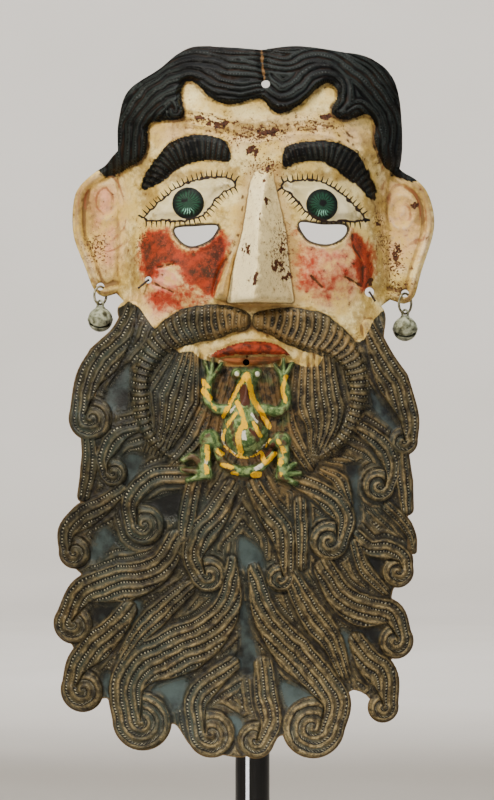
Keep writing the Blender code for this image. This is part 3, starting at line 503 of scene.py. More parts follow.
def lockField(lock, path, u, v, pitch):
    # how far in from a lock's edge each point lies (negative outside), with its strand phase,
    # its place along the strands and whether it lies in the curl
    _, widths, centre, radius, turn = lock
    inward = np.full(len(u), -99.0)
    phase, along = np.zeros(len(u)), np.zeros(len(u))
    coiled = np.zeros(len(u), bool)
    close = np.nonzero(near(path, u, v, max(widths) + 16))[0]
    apart, side, share = across(path, u[close], v[close])
    half = widthAt(widths, share) / 2
    inward[close] = np.where((share > 0.9995) & bool(centre), -99, half - apart)
    edge = 1.0
    fromOuter = half + side * (turn or 1)
    if turn:
        ribbonPhase = (fromOuter - edge) / pitch
    else:
        count = max(2, round((max(widths) - 2 * edge) / pitch))
        ribbonPhase = (fromOuter - edge) / (2 * half - 2 * edge) * count
    fromInner = 2 * half - fromOuter
    atInner = (fromInner < 0.34 * pitch) & (fromInner > -0.5)
    phase[close] = np.where(atInner, (fromInner - edge) / pitch, ribbonPhase)
    along[close] = share * lengthOf(path)
    if not centre:
        return inward, phase, along, coiled
    du, dv = u - centre[0], v - centre[1]
    ring = np.hypot(du, dv)
    entry = math.atan2(path[-1][1] - centre[1], path[-1][0] - centre[0])
    swept = ((np.arctan2(dv, du) - entry) * turn) % (2 * math.pi)
    coilPitch = min(pitch, radius / 2.2)
    spiral = (radius - ring - edge) / coilPitch - swept / (2 * math.pi)
    rimward = radius - ring
    spiral = np.where((rimward < 0.34 * coilPitch) & (rimward > -0.5), (rimward - edge) / coilPitch, spiral)
    # the ribbon that comes in lies over the end of the first turn
    incoming = np.zeros(len(u), bool)
    incoming[close] = (apart < half) & (share > 0.4) & (share < 0.9995)
    coiled = (rimward > inward) & ~(incoming & (swept > 1.3 * math.pi))
    phase = np.where(coiled, spiral, phase)
    along = np.where(coiled, swept * ring, along)
    inward = np.where(coiled, rimward, np.maximum(inward, np.where(incoming, inward, rimward)))
    return inward, phase, along, coiled


def noseRelief(u, v):
    rows = (283, 288, 307, 331, 362, 372)
    crest = np.interp(v, rows, (0.6, 0.6, 2.6, 3.3, 8, 9))
    left = np.interp(v, rows, (-15.8, -15.8, -12.5, -6.3, -1.5, 4))
    right = np.interp(v, rows, (26, 26, 23.5, 21, 14, 12))
    height = np.interp(v, rows, (0, 32, 29, 21, 7, 0))
    share = np.where(u < crest, (u - left) / (crest - left), (right - u) / (right - crest))
    return height * np.clip(share, 0, 1)


def skinEdge(u):
    # the height below which the beard's dark paint starts
    return np.interp(u, (-120, -84, -79, -72, -66, -62, -46, -38, -33, -24, -18,
                         16, 24, 34, 41, 46, 60, 70, 77, 83, 120),
                     (283, 284, 288, 284, 275, 270, 255, 256, 251, 249, 246,
                      246, 249, 246, 246, 254, 262, 262, 276, 282, 281))


def reliefAt(u, v):
    # the beaten surface, with what the paint needs to know of each point
    count = len(u)
    found = np.zeros(count)
    facts = {name: np.zeros(count) for name in ("phase", "along", "cover", "hollow", "tone")}
    depth = mask["strandDepth"]

    # locks, and strands that carry on from the nearest lock where none lies
    height = mask["lockHeight"]
    nearest = np.full(count, -30.0)
    waver = 0.11 * noise(u, v, 8, 3) + 0.06 * noise(u, v, 3.5, 4)
    for lock, path in zip(beardLocks, lines["locks"]):
        inward, phase, along, coiled = lockField(lock, path, u, v, mask["strandPitch"])
        phase = phase + waver
        centre, radius = lock[2], lock[3]
        rise = smooth(inward / mask["edge"]) * (height - depth + depth * ridges(phase))
        if centre:
            ring = np.hypot(u - centre[0], v - centre[1])
            rise = rise + np.where(coiled, 1.5 * dome(ring / radius) + dome(ring / (0.22 * radius)), 0)
        ontop = (inward > 0) & (rise > found)
        behind = (inward <= 0) & (found <= 0) & (inward > nearest)
        nearest = np.maximum(nearest, inward)
        found[ontop] = rise[ontop]
        taken = ontop | behind
        facts["phase"][taken] = phase[taken]
        facts["along"][taken] = along[taken]
        cover = np.where(ontop, smooth(inward, 0.2, 1.6), 0.8 * smooth(-inward, 0.4, 1.6))
        facts["cover"][taken] = cover[taken]
    beardIn = skinEdge(u) - v
    for (_, tone), line in zip(hollows, lines["hollows"]):
        deep = smooth(insideOf(line, u, v, 9), -1.5, 1.5) * (found < 0.4)
        facts["tone"] = np.where(deep > facts["hollow"], tone, facts["tone"])
        facts["hollow"] = np.maximum(facts["hollow"], deep)
    open_ = smooth(beardIn, 2, 8) * (1 - facts["hollow"]) * (found < 0.4)
    found += open_ * (0.9 + 1.2 * ridges(facts["phase"])) - 1.0 * facts["hollow"]
    facts["cover"] *= 1 - facts["hollow"]
    facts["moustache"] = np.full(count, -9.0)
    for (_, widths), path in zip(moustache, lines["moustache"]):
        close = np.nonzero(near(path, u, v, max(widths)))[0]
        apart, side, share = across(path, u[close], v[close])
        half = widthAt(widths, share) / 2
        start = (path[0] - path[1]) / np.hypot(*(path[0] - path[1]))
        beyond = (u[close] - path[0, 0]) * start[0] + (v[close] - path[0, 1]) * start[1]
        beyond = np.where(share < 1e-6, beyond, 0)
        comb = (share * lengthOf(path) - beyond) / mask["combPitch"] + 0.0035 * side**2 + waver[close]
        roll = smooth((half - apart) / 5.0) * (relief["moustache"] - depth + depth * ridges(comb))
        facts["moustache"][close] = np.maximum(facts["moustache"][close], half - apart)
        taken = close[roll > found[close]]
        inner = roll > found[close]
        found[taken] = roll[inner]
        facts["phase"][taken] = comb[inner]
        facts["along"][taken] = side[inner] + 40
        facts["cover"][taken] = smooth(roll, 0.2, 1.2)[inner]
    facts["brow"] = np.full(count, -9.0)
    for line, path in zip(lines["brows"], lines["browMiddles"]):
        close = np.nonzero(near(line, u, v, 9))[0]
        deep = insideOf(line, u[close], v[close], 9)
        _, side, share = across(path, u[close], v[close])
        comb = share * lengthOf(path) / mask["browPitch"] + 0.03 * side + waver[close]
        found[close] += smooth(deep, 0, 4.5) * (relief["brow"] - 1.0 + cords(comb))
        facts["brow"][close] = np.maximum(facts["brow"][close], deep)
        spot = close[deep > 0]
        facts["phase"][spot] = comb[deep > 0]
        facts["along"][spot] = side[deep > 0] + 60
        facts["cover"][spot] = 1
    for centre in (-41, 44):
        found -= relief["socket"] * np.exp(-(((u - centre) / 30) ** 2) - ((v - 352) / 16) ** 2)
        found += relief["cheek"] * np.exp(-(((u - centre * 1.1) / 20) ** 2) - ((v - 306) / 18) ** 2)
    facts["eye"] = np.full(count, -9.0)
    for line, (u0, v0, radius) in zip(lines["eyes"], irises):
        deep = insideOf(line, u, v, 9)
        facts["eye"] = np.maximum(facts["eye"], deep)
        found += relief["lid"] * smooth(deep, 0, 5) + 0.8 * np.exp(-((deep / 1.1) ** 2))
        ring = np.hypot(u - u0, v - v0)
        found += relief["iris"] * dome(ring / radius) + 0.5 * np.exp(-(((ring - radius) / 0.7) ** 2))
    for line in lines["slits"]:
        found += relief["slitRim"] * np.exp(-(((insideOf(line, u, v, 9) + 2.0) / 1.4) ** 2))
    facts["crease"] = np.full(count, 9.0)
    for path in lines["creases"]:
        close = near(path, u, v, 9)
        apart, _, _ = across(path, u[close], v[close])
        facts["crease"][close] = np.minimum(facts["crease"][close], apart)
    dip = relief["crease"] * np.exp(-(facts["crease"] ** 2))
    found -= dip - 0.6 * np.exp(-(((facts["crease"] - 2.4) / 1.2) ** 2))
    hairIn = insideOf(lines["hair"], u, v, 9)
    hairRise = relief["hair"] * smooth(hairIn, 0, 4)
    hairStrands = np.full(count, -30.0)
    hairFacts = [np.zeros(count), np.zeros(count)]
    for lock, path in zip(hairLocks, lines["hairLocks"]):
        inward, phase, along, _ = lockField(lock, path, u, v, mask["hairPitch"])
        phase = phase + 1.6 * waver
        taken = inward > hairStrands
        hairStrands[taken] = inward[taken]
        hairFacts[0][taken] = phase[taken]
        hairFacts[1][taken] = along[taken]
    close = near(lines["parting"], u, v, 9)
    apart, _, _ = across(lines["parting"], u[close], v[close])
    hairRise[close] -= relief["parting"] * np.exp(-((apart / 2.4) ** 2))
    strands = relief["hairCord"] * cords(hairFacts[0]) + 0.8 * smooth(hairStrands, -0.5, 2)
    found += hairRise + strands * smooth(hairIn, 0, 2.5)
    combed = hairIn > 0
    facts["phase"][combed] = hairFacts[0][combed]
    facts["along"][combed] = hairFacts[1][combed]
    facts["cover"][combed] = 1
    facts["parting"] = np.full(count, 9.0)
    facts["parting"][close] = apart
    frogIn = insideOf(lines["frog"], u, v, 9)
    lipIn = insideOf(lines["lips"], u, v, 9)
    solid = np.maximum(noseRelief(u, v), relief["wing"] * smooth(insideOf(lines["wing"], u, v, 8.0), 0, 7.0))
    solid = np.maximum(solid, relief["lip"] * smooth(lipIn, -0.5, 3.0))
    underIn = insideOf(lines["underLip"], u, v, 9)
    solid = np.maximum(solid, relief["underLip"] * smooth(underIn, -1, 3.5))
    solid = np.maximum(solid, relief["frog"] * smooth(frogIn, 0, 8))
    for (_, widths), path in zip(frogLimbs, lines["limbs"]):
        close = near(path, u, v, max(widths))
        apart, _, share = across(path, u[close], v[close])
        deep = widthAt(widths, share) / 2 - apart
        frogIn[close] = np.maximum(frogIn[close], deep)
        solid[close] = np.maximum(solid[close], relief["frogLimb"] * smooth(deep / 2.5))
    for u0, v0, radius in frogBosses:
        deep = radius - np.hypot(u - u0, v - v0)
        frogIn = np.maximum(frogIn, deep)
        solid = np.maximum(solid, relief["frogBoss"] * smooth(deep / 3.0))
    taken = solid > found
    found[taken] = solid[taken]
    facts["cover"][taken] = 0
    facts["frog"] = np.maximum(frogIn, -9)
    facts["hair"] = hairIn
    facts["lip"] = lipIn
    facts["underLip"] = underIn
    facts["beard"] = beardIn
    bent = np.maximum(facts["hair"], facts["beard"]) < 0
    found += mask["hammer"] * (noise(u, v, 9, 1) + 0.5 * noise(u, v, 4, 2)) * np.where(bent, 1.8, 1.0)
    return found, facts


def earFlap(u, v):
    found = np.zeros(len(u))
    outer = smooth(np.abs(u), 79, 87)
    for line, (u0, v0) in zip(lines["ears"], earMiddles):
        deep = insideOf(line, u, v, 16.0)
        ring = np.hypot(u - u0, 0.75 * (v - v0)) + 0.8 * noise(u, v, 9, 6)
        form = 2.8 * np.exp(-(((deep - 3.0) / 2.2) ** 2)) - 1.0 * np.exp(-(((deep - 7.5) / 1.3) ** 2))
        form += 1.4 * np.exp(-(((ring - 8.5) / 1.7) ** 2)) + 1.6 * np.exp(-((ring / 2.6) ** 2))
        found = np.maximum(found, np.where(deep > -6, relief["ear"] + outer * form, 0))
    return found


def depthAt(u, v):
    relief, facts = reliefAt(u, v)
    face, flap = baseForm(u, v) + relief, earFlap(u, v)
    # the ears meet the head in a soft fold
    soft = 3.5 * smooth(flap, 0, 8)
    return 0.5 * (face + flap + np.sqrt((face - flap) ** 2 + soft**2)), facts


def outlineLoops(us, vs, field):
    # the sheet's edge and its holes as closed loops, traced where the field is 0
    field[np.abs(field) < 1e-6] = 1e-6
    sign = field > 0
    first = sign[:-1, :-1]
    mixed = (first != sign[1:, :-1]) | (first != sign[1:, 1:]) | (first != sign[:-1, 1:])
    follows, places = {}, {}
    for i, j in zip(*np.nonzero(mixed)):
        corners = ((i, j), (i + 1, j), (i + 1, j + 1), (i, j + 1))
        leaves, enters = [], []
        for k in range(4):
            a, b = corners[k], corners[(k + 1) % 4]
            if sign[a] == sign[b]:
                continue
            edge = (min(a, b), max(a, b))
            t = field[a] / (field[a] - field[b])
            places[edge] = (us[a[0]] + t * (us[b[0]] - us[a[0]]), vs[a[1]] + t * (vs[b[1]] - vs[a[1]]))
            (leaves if sign[a] else enters).append(edge)
        if len(leaves) == 2:
            follows[leaves[0]], follows[leaves[1]] = enters[1], enters[0]
        else:
            follows[leaves[0]] = enters[0]
    loops = []
    while follows:
        edge = next(iter(follows))
        loop = []
        while edge in follows:
            loop.append(places[edge])
            edge = follows.pop(edge)
        loop = thinned(np.array(loop), 0.45)
        after = np.roll(loop, -1, axis=0)
        if abs(0.5 * np.sum(loop[:, 0] * after[:, 1] - after[:, 0] * loop[:, 1])) > 8:
            loops.append(loop)
    return loops


def thinned(loop, gap):
    # drops points that crowd their neighbours
    kept = [loop[0]]
    for point in loop[1:]:
        if np.hypot(*(point - kept[-1])) > gap:
            kept.append(point)
    if np.hypot(*(kept[-1] - kept[0])) < gap:
        kept.pop()
    return np.array(kept)


def triangulated(points, loops):
    edges, start = [], 0
    for loop in loops:
        count = len(loop)
        edges += [(start + k, start + (k + 1) % count) for k in range(count)]
        start += count
    found = delaunay_2d_cdt([Vector(point) for point in points.tolist()], edges, [], 0, 1e-6)
    flat = np.array([point[:] for point in found[0]])
    faces = np.array(found[2])
    # only a triangle with all its corners on the edge can lie off the sheet
    rimOnly = np.nonzero((faces < start).all(axis=1))[0]
    middles = flat[faces[rimOnly]].mean(axis=1)
    wound = np.zeros(len(rimOnly), int)
    for loop in loops:
        wound += np.where(inside(loop, middles[:, 0], middles[:, 1]) > 0, 1, 0)
    keep = np.ones(len(faces), bool)
    keep[rimOnly[wound != 1]] = False
    faces = faces[keep]
    a, b, c = flat[faces[:, 0]], flat[faces[:, 1]], flat[faces[:, 2]]
    turn = (b[:, 0] - a[:, 0]) * (c[:, 1] - a[:, 1]) - (b[:, 1] - a[:, 1]) * (c[:, 0] - a[:, 0])
    return flat, np.where((turn > 0)[:, None], faces, faces[:, ::-1])


def facing(points, faces):
    corners = points[faces]
    normals = np.cross(corners[:, 1] - corners[:, 0], corners[:, 2] - corners[:, 0])
    summed = np.zeros_like(points)
    for k in range(3):
        np.add.at(summed, faces[:, k], normals)
    return np.abs(summed[:, 1]) / np.maximum(np.linalg.norm(summed, axis=1), 1e-12)


def rimOf(faces):
    # edges used by one triangle only, in that triangle's order
    ends = np.vstack([faces[:, [0, 1]], faces[:, [1, 2]], faces[:, [2, 0]]])
    _, index, count = np.unique(np.sort(ends, axis=1), axis=0, return_inverse=True, return_counts=True)
    return ends[count[index.reshape(-1)] == 1]


def placed(u, v, out):
    return np.column_stack([u * unit, mask["rear"] - out * unit, mask["aboveFloor"] + v * unit])


def newMeshObject(name, points, faces):
    mesh = bpy.data.meshes.new(name)
    mesh.from_pydata(points, [], faces)
    thing = bpy.data.objects.new(name, mesh)
    bpy.context.scene.collection.objects.link(thing)
    return thing


def applied(thing):
    # the object's mesh with its modifiers taken in
    bpy.context.view_layer.update()
    result = bpy.data.meshes.new_from_object(thing.evaluated_get(bpy.context.evaluated_depsgraph_get()))
    thing.modifiers.clear()
    thing.data = result
    return result


def cavityAt(u, v, out):
    # how far each point lies behind the mean of a ring round it: over 0 in hollows and grooves,
    # where the paint lays painted shade, and under 0 on raised parts, where it lays painted highlight
    found = np.zeros(len(u))
    for k in range(4):
        angle = math.pi / 4 + k * math.pi / 2
        around, _ = depthAt(u + 3.2 * math.cos(angle), v + 3.2 * math.sin(angle))
        found += around / 4
    return found - out


def makeMask():
    step = mask["gridStep"]
    us, vs = np.arange(-131, 121, step), np.arange(-5, 454, step)
    gridU, gridV = np.meshgrid(us, vs, indexing="ij")
    field = material(gridU.ravel(), gridV.ravel()).reshape(gridU.shape)
    loops = outlineLoops(us, vs, field)
    clear = field > 0.45 * step
    print("mask edge:", len(loops), "loops,", sum(len(loop) for loop in loops), "points")
    flatPoints = np.vstack([*loops, np.column_stack([gridU[clear], gridV[clear]])])
    flat, faces = triangulated(flatPoints, loops)
    out, _ = depthAt(flat[:, 0], flat[:, 1])
    print("mask front before thinning:", len(faces), "triangles")
    # a fine roughness, taken off again below, keeps the triangles small where flat skin is painted
    rough = mask["keepFine"] * noise(flat[:, 0], flat[:, 1], 2.4, 9)
    front = newMeshObject("front", placed(flat[:, 0], flat[:, 1], out + rough).tolist(), faces.tolist())
    thin = front.modifiers.new("thin", "DECIMATE")
    thin.ratio = mask["frontTriangles"] / len(faces)
    mesh = applied(front)
    points = np.empty(len(mesh.vertices) * 3)
    mesh.vertices.foreach_get("co", points)
    points = points.reshape(-1, 3)
    faces = np.array([face.vertices[:] for face in mesh.polygons])
    bpy.data.objects.remove(front)
    flatFront = np.column_stack([points[:, 0], points[:, 2] - mask["aboveFloor"]]) / unit
    out, _ = depthAt(flatFront[:, 0], flatFront[:, 1])
    points = placed(flatFront[:, 0], flatFront[:, 1], out)
    rim = rimOf(faces)
    follows = {int(a): int(b) for a, b in rim}
    # the back: the same edge loops, a coarser mesh, one sheet behind
    backLoops, backIndex = [], []
    waiting = dict(follows)
    while waiting:
        first = next(iter(waiting))
        at, ring = first, []
        while at in waiting:
            ring.append(at)
            at = waiting.pop(at)
        backLoops.append(flatFront[ring])
        backIndex += ring
    coarse = mask["backStep"]
    us, vs = np.arange(-131, 121, coarse), np.arange(-5, 454, coarse)
    gridU, gridV = (side.ravel() for side in np.meshgrid(us, vs, indexing="ij"))
    clear = material(gridU, gridV) > coarse * 0.7
    backPoints = np.vstack([*backLoops, np.column_stack([gridU[clear], gridV[clear]])])
    flatBack, backFaces = triangulated(backPoints, backLoops)
    outBack, _ = depthAt(flatBack[:, 0], flatBack[:, 1])
    # the lowest of the front's heights close by, so that the coarser back never shows through it
    for k in range(8):
        angle = k * math.pi / 4
        shift = 1.6 * np.array([math.cos(angle), math.sin(angle)])
        around, _ = depthAt(*(flatBack + shift).T)
        outBack = np.minimum(outBack, around)
    back = placed(flatBack[:, 0], flatBack[:, 1], outBack)
    rimCount = len(backIndex)
    back[:rimCount] = points[backIndex]
    thick = mask["sheet"] / np.maximum(facing(back, backFaces), 0.4)
    thick[rimCount:] += mask["backGap"]
    back[:, 1] += thick
    start = len(points)
    allFaces = [*faces.tolist(), *(backFaces[:, ::-1] + start).tolist()]
    behind = {frontPoint: start + k for k, frontPoint in enumerate(backIndex)}
    rimFaces = [(int(b), int(a), behind[int(a)], behind[int(b)]) for a, b in rim]
    allPoints = np.vstack([points, back])
    whole = newMeshObject("mask_painted", allPoints.tolist(), allFaces + rimFaces)
    marks = np.zeros(len(whole.data.polygons), int)
    marks[len(faces):] = 1
    whole.data.polygons.foreach_set("material_index", marks)
    print("mask:", len(faces), "front,", len(backFaces), "back,", 2 * len(rimFaces), "rim triangles")
    return whole, start


# What is painted where, in millimetres on the mask.
paint = {
    "pupils": [(-43, 351.5, 2.6), (44.5, 349.2, 2.7)],
    "red": [
        ([(-71, 333), (-62.5, 335.2), (-51, 332), (-47.8, 324.6), (-37.3, 320), (-24.7, 327.4),
          (-18.4, 332), (-15.2, 321.5),
          (-18.4, 308.9), (-24, 292), (-31, 290), (-39.4, 298.4), (-45.7, 307), (-57.2, 310),
          (-62.5, 303), (-67.7, 298.4),
          (-71.5, 313)], 1.0, 6),
        ([(-71, 302), (-60, 298), (-44, 300), (-30, 294), (-30, 284), (-50, 280), (-66, 284)], 0.62, 7),
        ([(25.7, 334), (34, 326), (40.4, 322.5), (55, 321), (63.5, 327), (66, 308), (65.6, 294),
          (57.2, 284), (44.6, 284),
          (32, 287), (26.8, 298.4), (25.7, 313)], 0.5, 5),
        ([(62.5, 334), (70, 330), (77, 319.4), (77, 300), (69.8, 292), (65, 300), (63.5, 313),
          (61, 324)], 0.88, 5),
    ],
    "pink": [
        ([(-62, 309), (-52, 309), (-46, 303), (-48, 293), (-60, 291), (-66, 298)], 1.0, 3),
        ([(28, 324), (50, 320), (66, 326), (72, 300), (62, 286), (44, 284), (28, 294)], 0.8, 6),
        ([(-60, 418), (-40, 404), (0, 400), (40, 404), (76, 396), (70, 384), (0, 384),
          (-60, 388)], 0.5, 7),
        ([(-110, 356), (-96, 366), (-84, 358), (-83, 330), (-86, 306), (-104, 314)], 0.85, 7),
        ([(86, 366), (104, 356), (112, 338), (104, 316), (86, 306), (83, 334)], 0.75, 7),
        ([(-79, 290), (-70, 284), (-62, 271), (-46, 284), (-62, 298)], 0.8, 5),
        ([(40, 322), (60, 320), (62, 306), (46, 304)], 0.9, 4),
    ],
    "bare": [
        (9, 350, 2.6, 5), (4, 341, 2.2, 3.5), (1, 300, 3.4, 6), (15, 309, 5, 5), (-3, 320, 3.5, 5),
        (22, 303, 4, 4),
        (81, 337, 4, 2), (15.6, 431, 3, 4), (19, 322, 2, 8), (7, 363, 3, 2), (9, 370, 4, 3),
        (45, 404, 6, 2.5),
        (-18, 379, 3, 5), (0, 382, 6, 4), (-22, 399, 12, 3), (10, 394, 14, 3), (-34, 403, 8, 2),
        (92, 318, 4, 8),
        (104, 350, 3, 3), (-62, 372, 2, 2), (75, 300, 3, 4),
    ],
    "speckled": [
        (90, 312, 9, 14), (84, 326, 7, 10), (94, 296, 12, 8), (-100, 322, 10, 14), (80, 340, 6, 6),
        (0, 392, 34, 9),
        (40, 398, 22, 6), (-30, 402, 20, 5), (8, 372, 18, 8), (18, 318, 9, 24), (-68, 322, 8, 14),
    ],
    # blots of dirt, and of painted shade under the brows, nose and moustache, at the eye corners, along the
    # hairline and where the ears meet the face
    "dirt": [
        (70, 276, 10, 18), (-72, 384, 8, 16), (76, 384, 9, 14), (-77, 312, 6, 24), (80, 320, 6, 26),
        (-94, 296, 14, 10),
        (96, 292, 14, 9), (-44, 402, 10, 8), (52, 402, 12, 6), (0, 286, 20, 3), (-20, 318, 6, 30),
        (25, 318, 6, 28),
        (0, 270, 20, 4), (38, 250, 10, 8), (18, 171, 20, 10), (-30, 190, 10, 14), (26, 215, 8, 20),
        (-24, 240, 6, 8),
        (-14, 366, 8, 8), (18, 368, 8, 8), (-66, 352, 8, 14), (78, 350, 8, 12), (0, 396, 40, 5),
        (-106, 350, 8, 20),
        (108, 350, 8, 20), (-40, 366, 26, 4), (46, 366, 26, 4), (-74, 300, 8, 12), (80, 300, 8, 14),
    ],
    "dust": [
        (-12, 272, 14, 16), (14, 272, 20, 16), (38, 248, 9, 9), (18, 170, 18, 9), (-40, 178, 10, 8),
        (56, 262, 16, 8),
        (26, 242, 10, 10), (0, 251, 22, 6), (-35, 252, 8, 6), (64, 268, 10, 10), (50, 180, 12, 8),
        (-26, 214, 8, 24),
        (24, 205, 9, 26),
    ],
    "yellow": [
        ([(-4.3, 241), (-11, 229), (-18.3, 214.7)], 1.5), ([(-3.6, 241), (0.5, 226), (5, 218),
          (10.5, 208)], 1.9),
        ([(-9.5, 223.5), (-6.7, 216), (-4.2, 208)], 1.7), ([(-10, 216.8), (-14.2, 211.3),
          (-18, 204.4), (-18.6, 200)], 1.2),
        ([(0.2, 211), (5, 202.4)], 1.4), ([(-6.7, 208), (-9.2, 201), (-7.3, 192)], 1.9),
        ([(-18, 196), (-10, 190), (-2, 189), (6, 193), (11, 200)], 0.9), ([(-31, 231), (-27, 226)], 2.0),
        ([(-31, 237), (-28, 233)], 1.5), ([(-26, 222), (-23, 219)], 1.4), ([(21, 240), (19, 232),
          (21, 224)], 1.5),
        ([(-28.6, 196), (-28.3, 188)], 1.7), ([(-29.3, 184), (-28.8, 179)], 1.6), ([(-22, 193),
          (-19, 191)], 1.5),
        ([(-19, 184), (-13, 182.5)], 1.6), ([(6, 192), (8, 185), (14, 191)], 1.4), ([(16, 199),
          (20, 192), (16.7, 186)], 1.6),
        ([(0.5, 178), (4, 178)], 2.2), ([(19, 186), (18, 178)], 1.3), ([(-13, 179), (-9, 178)], 1.2),
    ],
    "white": [
        ([(-5.6, 206), (-5, 200)], 1.6), ([(-19.5, 206), (-17.5, 196), (-10, 190.5)], 0.8),
        ([(-9.7, 241.5), (-9.6, 241)], 1.6),
        ([(3, 241.5), (3.1, 241)], 1.6), ([(2, 181.5), (6, 184)], 1.6), ([(-29, 187), (-29, 184)], 1.4),
        ([(-0.5, 216), (3, 211)], 1.0), ([(2, 192), (9, 198)], 0.8), ([(-14, 217), (-11, 221)], 0.9),
    ],
    "brown": [
        ([(-5.3, 232), (-4.6, 224)], 3.2), ([(5, 214), (8, 210)], 1.6), ([(-13, 226), (-16, 219)], 1.4),
        ([(-16, 193), (-4, 185.5), (8, 190), (13, 197)], 1.5), ([(-2, 207), (2, 203)], 1.3),
    ],
    "whorls": [4.0, 11.0, 15.5, 21.0],
}


def strokes(items, u, v):
    # distance in from the edge of painted strokes, negative outside
    found = np.full(len(u), -9.0)
    for points, half in items:
        path = spline(points, 1.5)
        close = near(path, u, v, 9)
        apart, _, _ = across(path, u[close], v[close])
        found[close] = np.maximum(found[close], half - apart)
    return found


def areas(items, u, v):
    found = np.zeros(len(u))
    for points, strength, soft in items:
        deep = insideOf(spline(points, 3, True), u, v, soft + 1)
        found = np.maximum(found, strength * smooth(deep, -soft, soft))
    return found


def blots(items, u, v):
    found = np.zeros(len(u))
    for u0, v0, wide, high in items:
        found = np.maximum(found, np.exp(-(((u - u0) / wide) ** 2) - ((v - v0) / high) ** 2))
    return found


packs = {
    "strands": ("cosine", "sine", "cover"),
    "lay": ("along", "hollow", "tone"),
    "edges": ("hair", "brow", "beard"),
    "eyes": ("eye", "lidAlong", "slit"),
    "irises": ("irisU", "irisV"),
    "mouth": ("lip", "moustache", "parting"),
    "more": ("underLip", "cavity", "dust"),
    "frogPaint": ("frog", "yellow", "white"),
    "earPaint": ("onEar", "whorl", "earRim"),
    "pupils": ("pupil", "edge", "ring"),
    "blush": ("red", "pink", "bare"),
    "marks": ("crease", "dirt", "side"),
    "faces": ("noseSide", "chin", "brown"),
    "nose": ("nose", "speckled", "lower"),
}


def paintAt(u, v, facts):
    angle = 2 * math.pi * facts["phase"]
    facts["cosine"], facts["sine"] = np.cos(angle), np.sin(angle)
    left = u < 1.5
    facts["irisU"] = np.where(left, u - irises[0][0], u - irises[1][0])
    facts["irisV"] = np.where(left, v - irises[0][1], v - irises[1][1])
    facts["ring"] = np.minimum(*[np.hypot(u - u0, v - v0) for u0, v0, _ in irises])
    facts["pupil"] = np.minimum(*[np.hypot(u - u0, v - v0) - radius for u0, v0, radius in paint["pupils"]])
    facts["lidAlong"] = np.zeros(len(u))
    for line, whole in zip(lines["eyes"], (left, ~left)):
        close = near(line, u, v, 9) & whole
        closed = np.vstack([line, line[:1]])
        _, _, share = across(closed, u[close], v[close])
        facts["lidAlong"][close] = share * lengthOf(closed)
    facts["slit"] = np.maximum(*[insideOf(line, u, v, 9) for line in lines["slits"]])
    ear = np.maximum(*[insideOf(line, u, v, 20) for line in lines["ears"]])
    facts["onEar"] = smooth(ear, 1, 3) * smooth(np.abs(u), 72, 80)
    facts["earRim"] = smooth(ear, 0.1, 0.6) * (1 - smooth(ear, 1, 3.4)) * smooth(np.abs(u), 86, 92)
    facts["whorl"] = np.minimum(*[np.hypot(u - u0, 0.62 * (v - v0)) for u0, v0 in earMiddles])
    facts["whorl"] += 2.5 * noise(u, v, 11, 6)
    for name in ("red", "pink"):
        facts[name] = areas(paint[name], u, v)
    for name in ("bare", "speckled", "dirt", "dust"):
        facts[name] = blots(paint[name], u, v)
    for name in ("yellow", "white", "brown"):
        facts[name] = strokes(paint[name], u, v)
    facts["chin"] = 1 - smooth(np.hypot((u + 4) / 34, (v - 214) / 42), 0.72, 1.15)
    facts["lower"] = 1 - smooth(v, 60, 240)
    facts["edge"] = np.clip(material(u, v), 0, 9)
    facts["side"] = smooth(u, -60, 60)
    rows = (286, 288, 307, 331, 362, 370)
    leftFoot = u - np.interp(v, rows, (-15.8, -15.8, -12.5, -6.3, -1.5, 2))
    rightFoot = np.interp(v, rows, (26, 26, 23.5, 21, 14, 13)) - u
    foot = np.minimum(np.minimum(leftFoot, rightFoot), np.minimum(v - 286, 369 - v))
    facts["nose"] = np.clip(foot, -9, 9)
    facts["noseSide"] = smooth(u - np.interp(v, rows, (0.6, 0.6, 2.6, 3.3, 8, 9)), -0.7, 0.7)


def addAttributes(thing, frontCount):
    points = np.empty(len(thing.data.vertices) * 3)
    thing.data.vertices.foreach_get("co", points)
    points = points.reshape(-1, 3)
    u, v = points[:, 0] / unit, (points[:, 2] - mask["aboveFloor"]) / unit
    out, facts = depthAt(u[:frontCount], v[:frontCount])
    facts["cavity"] = np.clip(cavityAt(u[:frontCount], v[:frontCount], out), -3, 3)
    paintAt(u[:frontCount], v[:frontCount], facts)
    for name, parts in packs.items():
        values = np.zeros((len(points), 3))
        for k, part in enumerate(parts):
            values[:frontCount, k] = facts[part]
        layer = thing.data.attributes.new(name, "FLOAT_VECTOR", "POINT")
        layer.data.foreach_set("vector", values.ravel())
    print("attributes:", len(packs))


maskPiece, frontCount = makeMask()
addAttributes(maskPiece, frontCount)
maskPiece.data.shade_smooth()
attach(maskPiece, "root")
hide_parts("mask")

# How large the patterns are, in millimetres, and how many make up a metre.
grain = {
    "broad": 45,
    "mottle": 14,
    "grime": 4.0,
    "speck": 1.3,
    "bead": 1.9,
    "lash": 3.0,
    "wobble": 5.0,
    "bump": 0.0006,
}
soft = {"interpolation_type": "SMOOTHSTEP"}
times, most, less, plain = ({"operation": name} for name in ("MULTIPLY", "MAXIMUM", "SUBTRACT", "ABSOLUTE"))


def newMaterial(name):
    # an empty node tree with its output, its shader and the piece's own coordinates
    made = bpy.data.materials.new(name)
    made.use_nodes = True
    tree = made.node_tree
    tree.nodes.clear()
    shader = addNode(tree, "ShaderNodeBsdfPrincipled")
    addNode(tree, "ShaderNodeOutputMaterial", None, {"Surface": shader})
    return made, tree, shader, addNode(tree, "ShaderNodeTexCoord").outputs["Object"]


def summed(tree, got, start, **weights):
    # a value with each named pattern added to it by its weight
    for name, weight in weights.items():
        start = addNode(tree, "ShaderNodeMath", {"operation": "MULTIPLY_ADD"},
                        {0: got[name], 1: weight, 2: start})
    return start


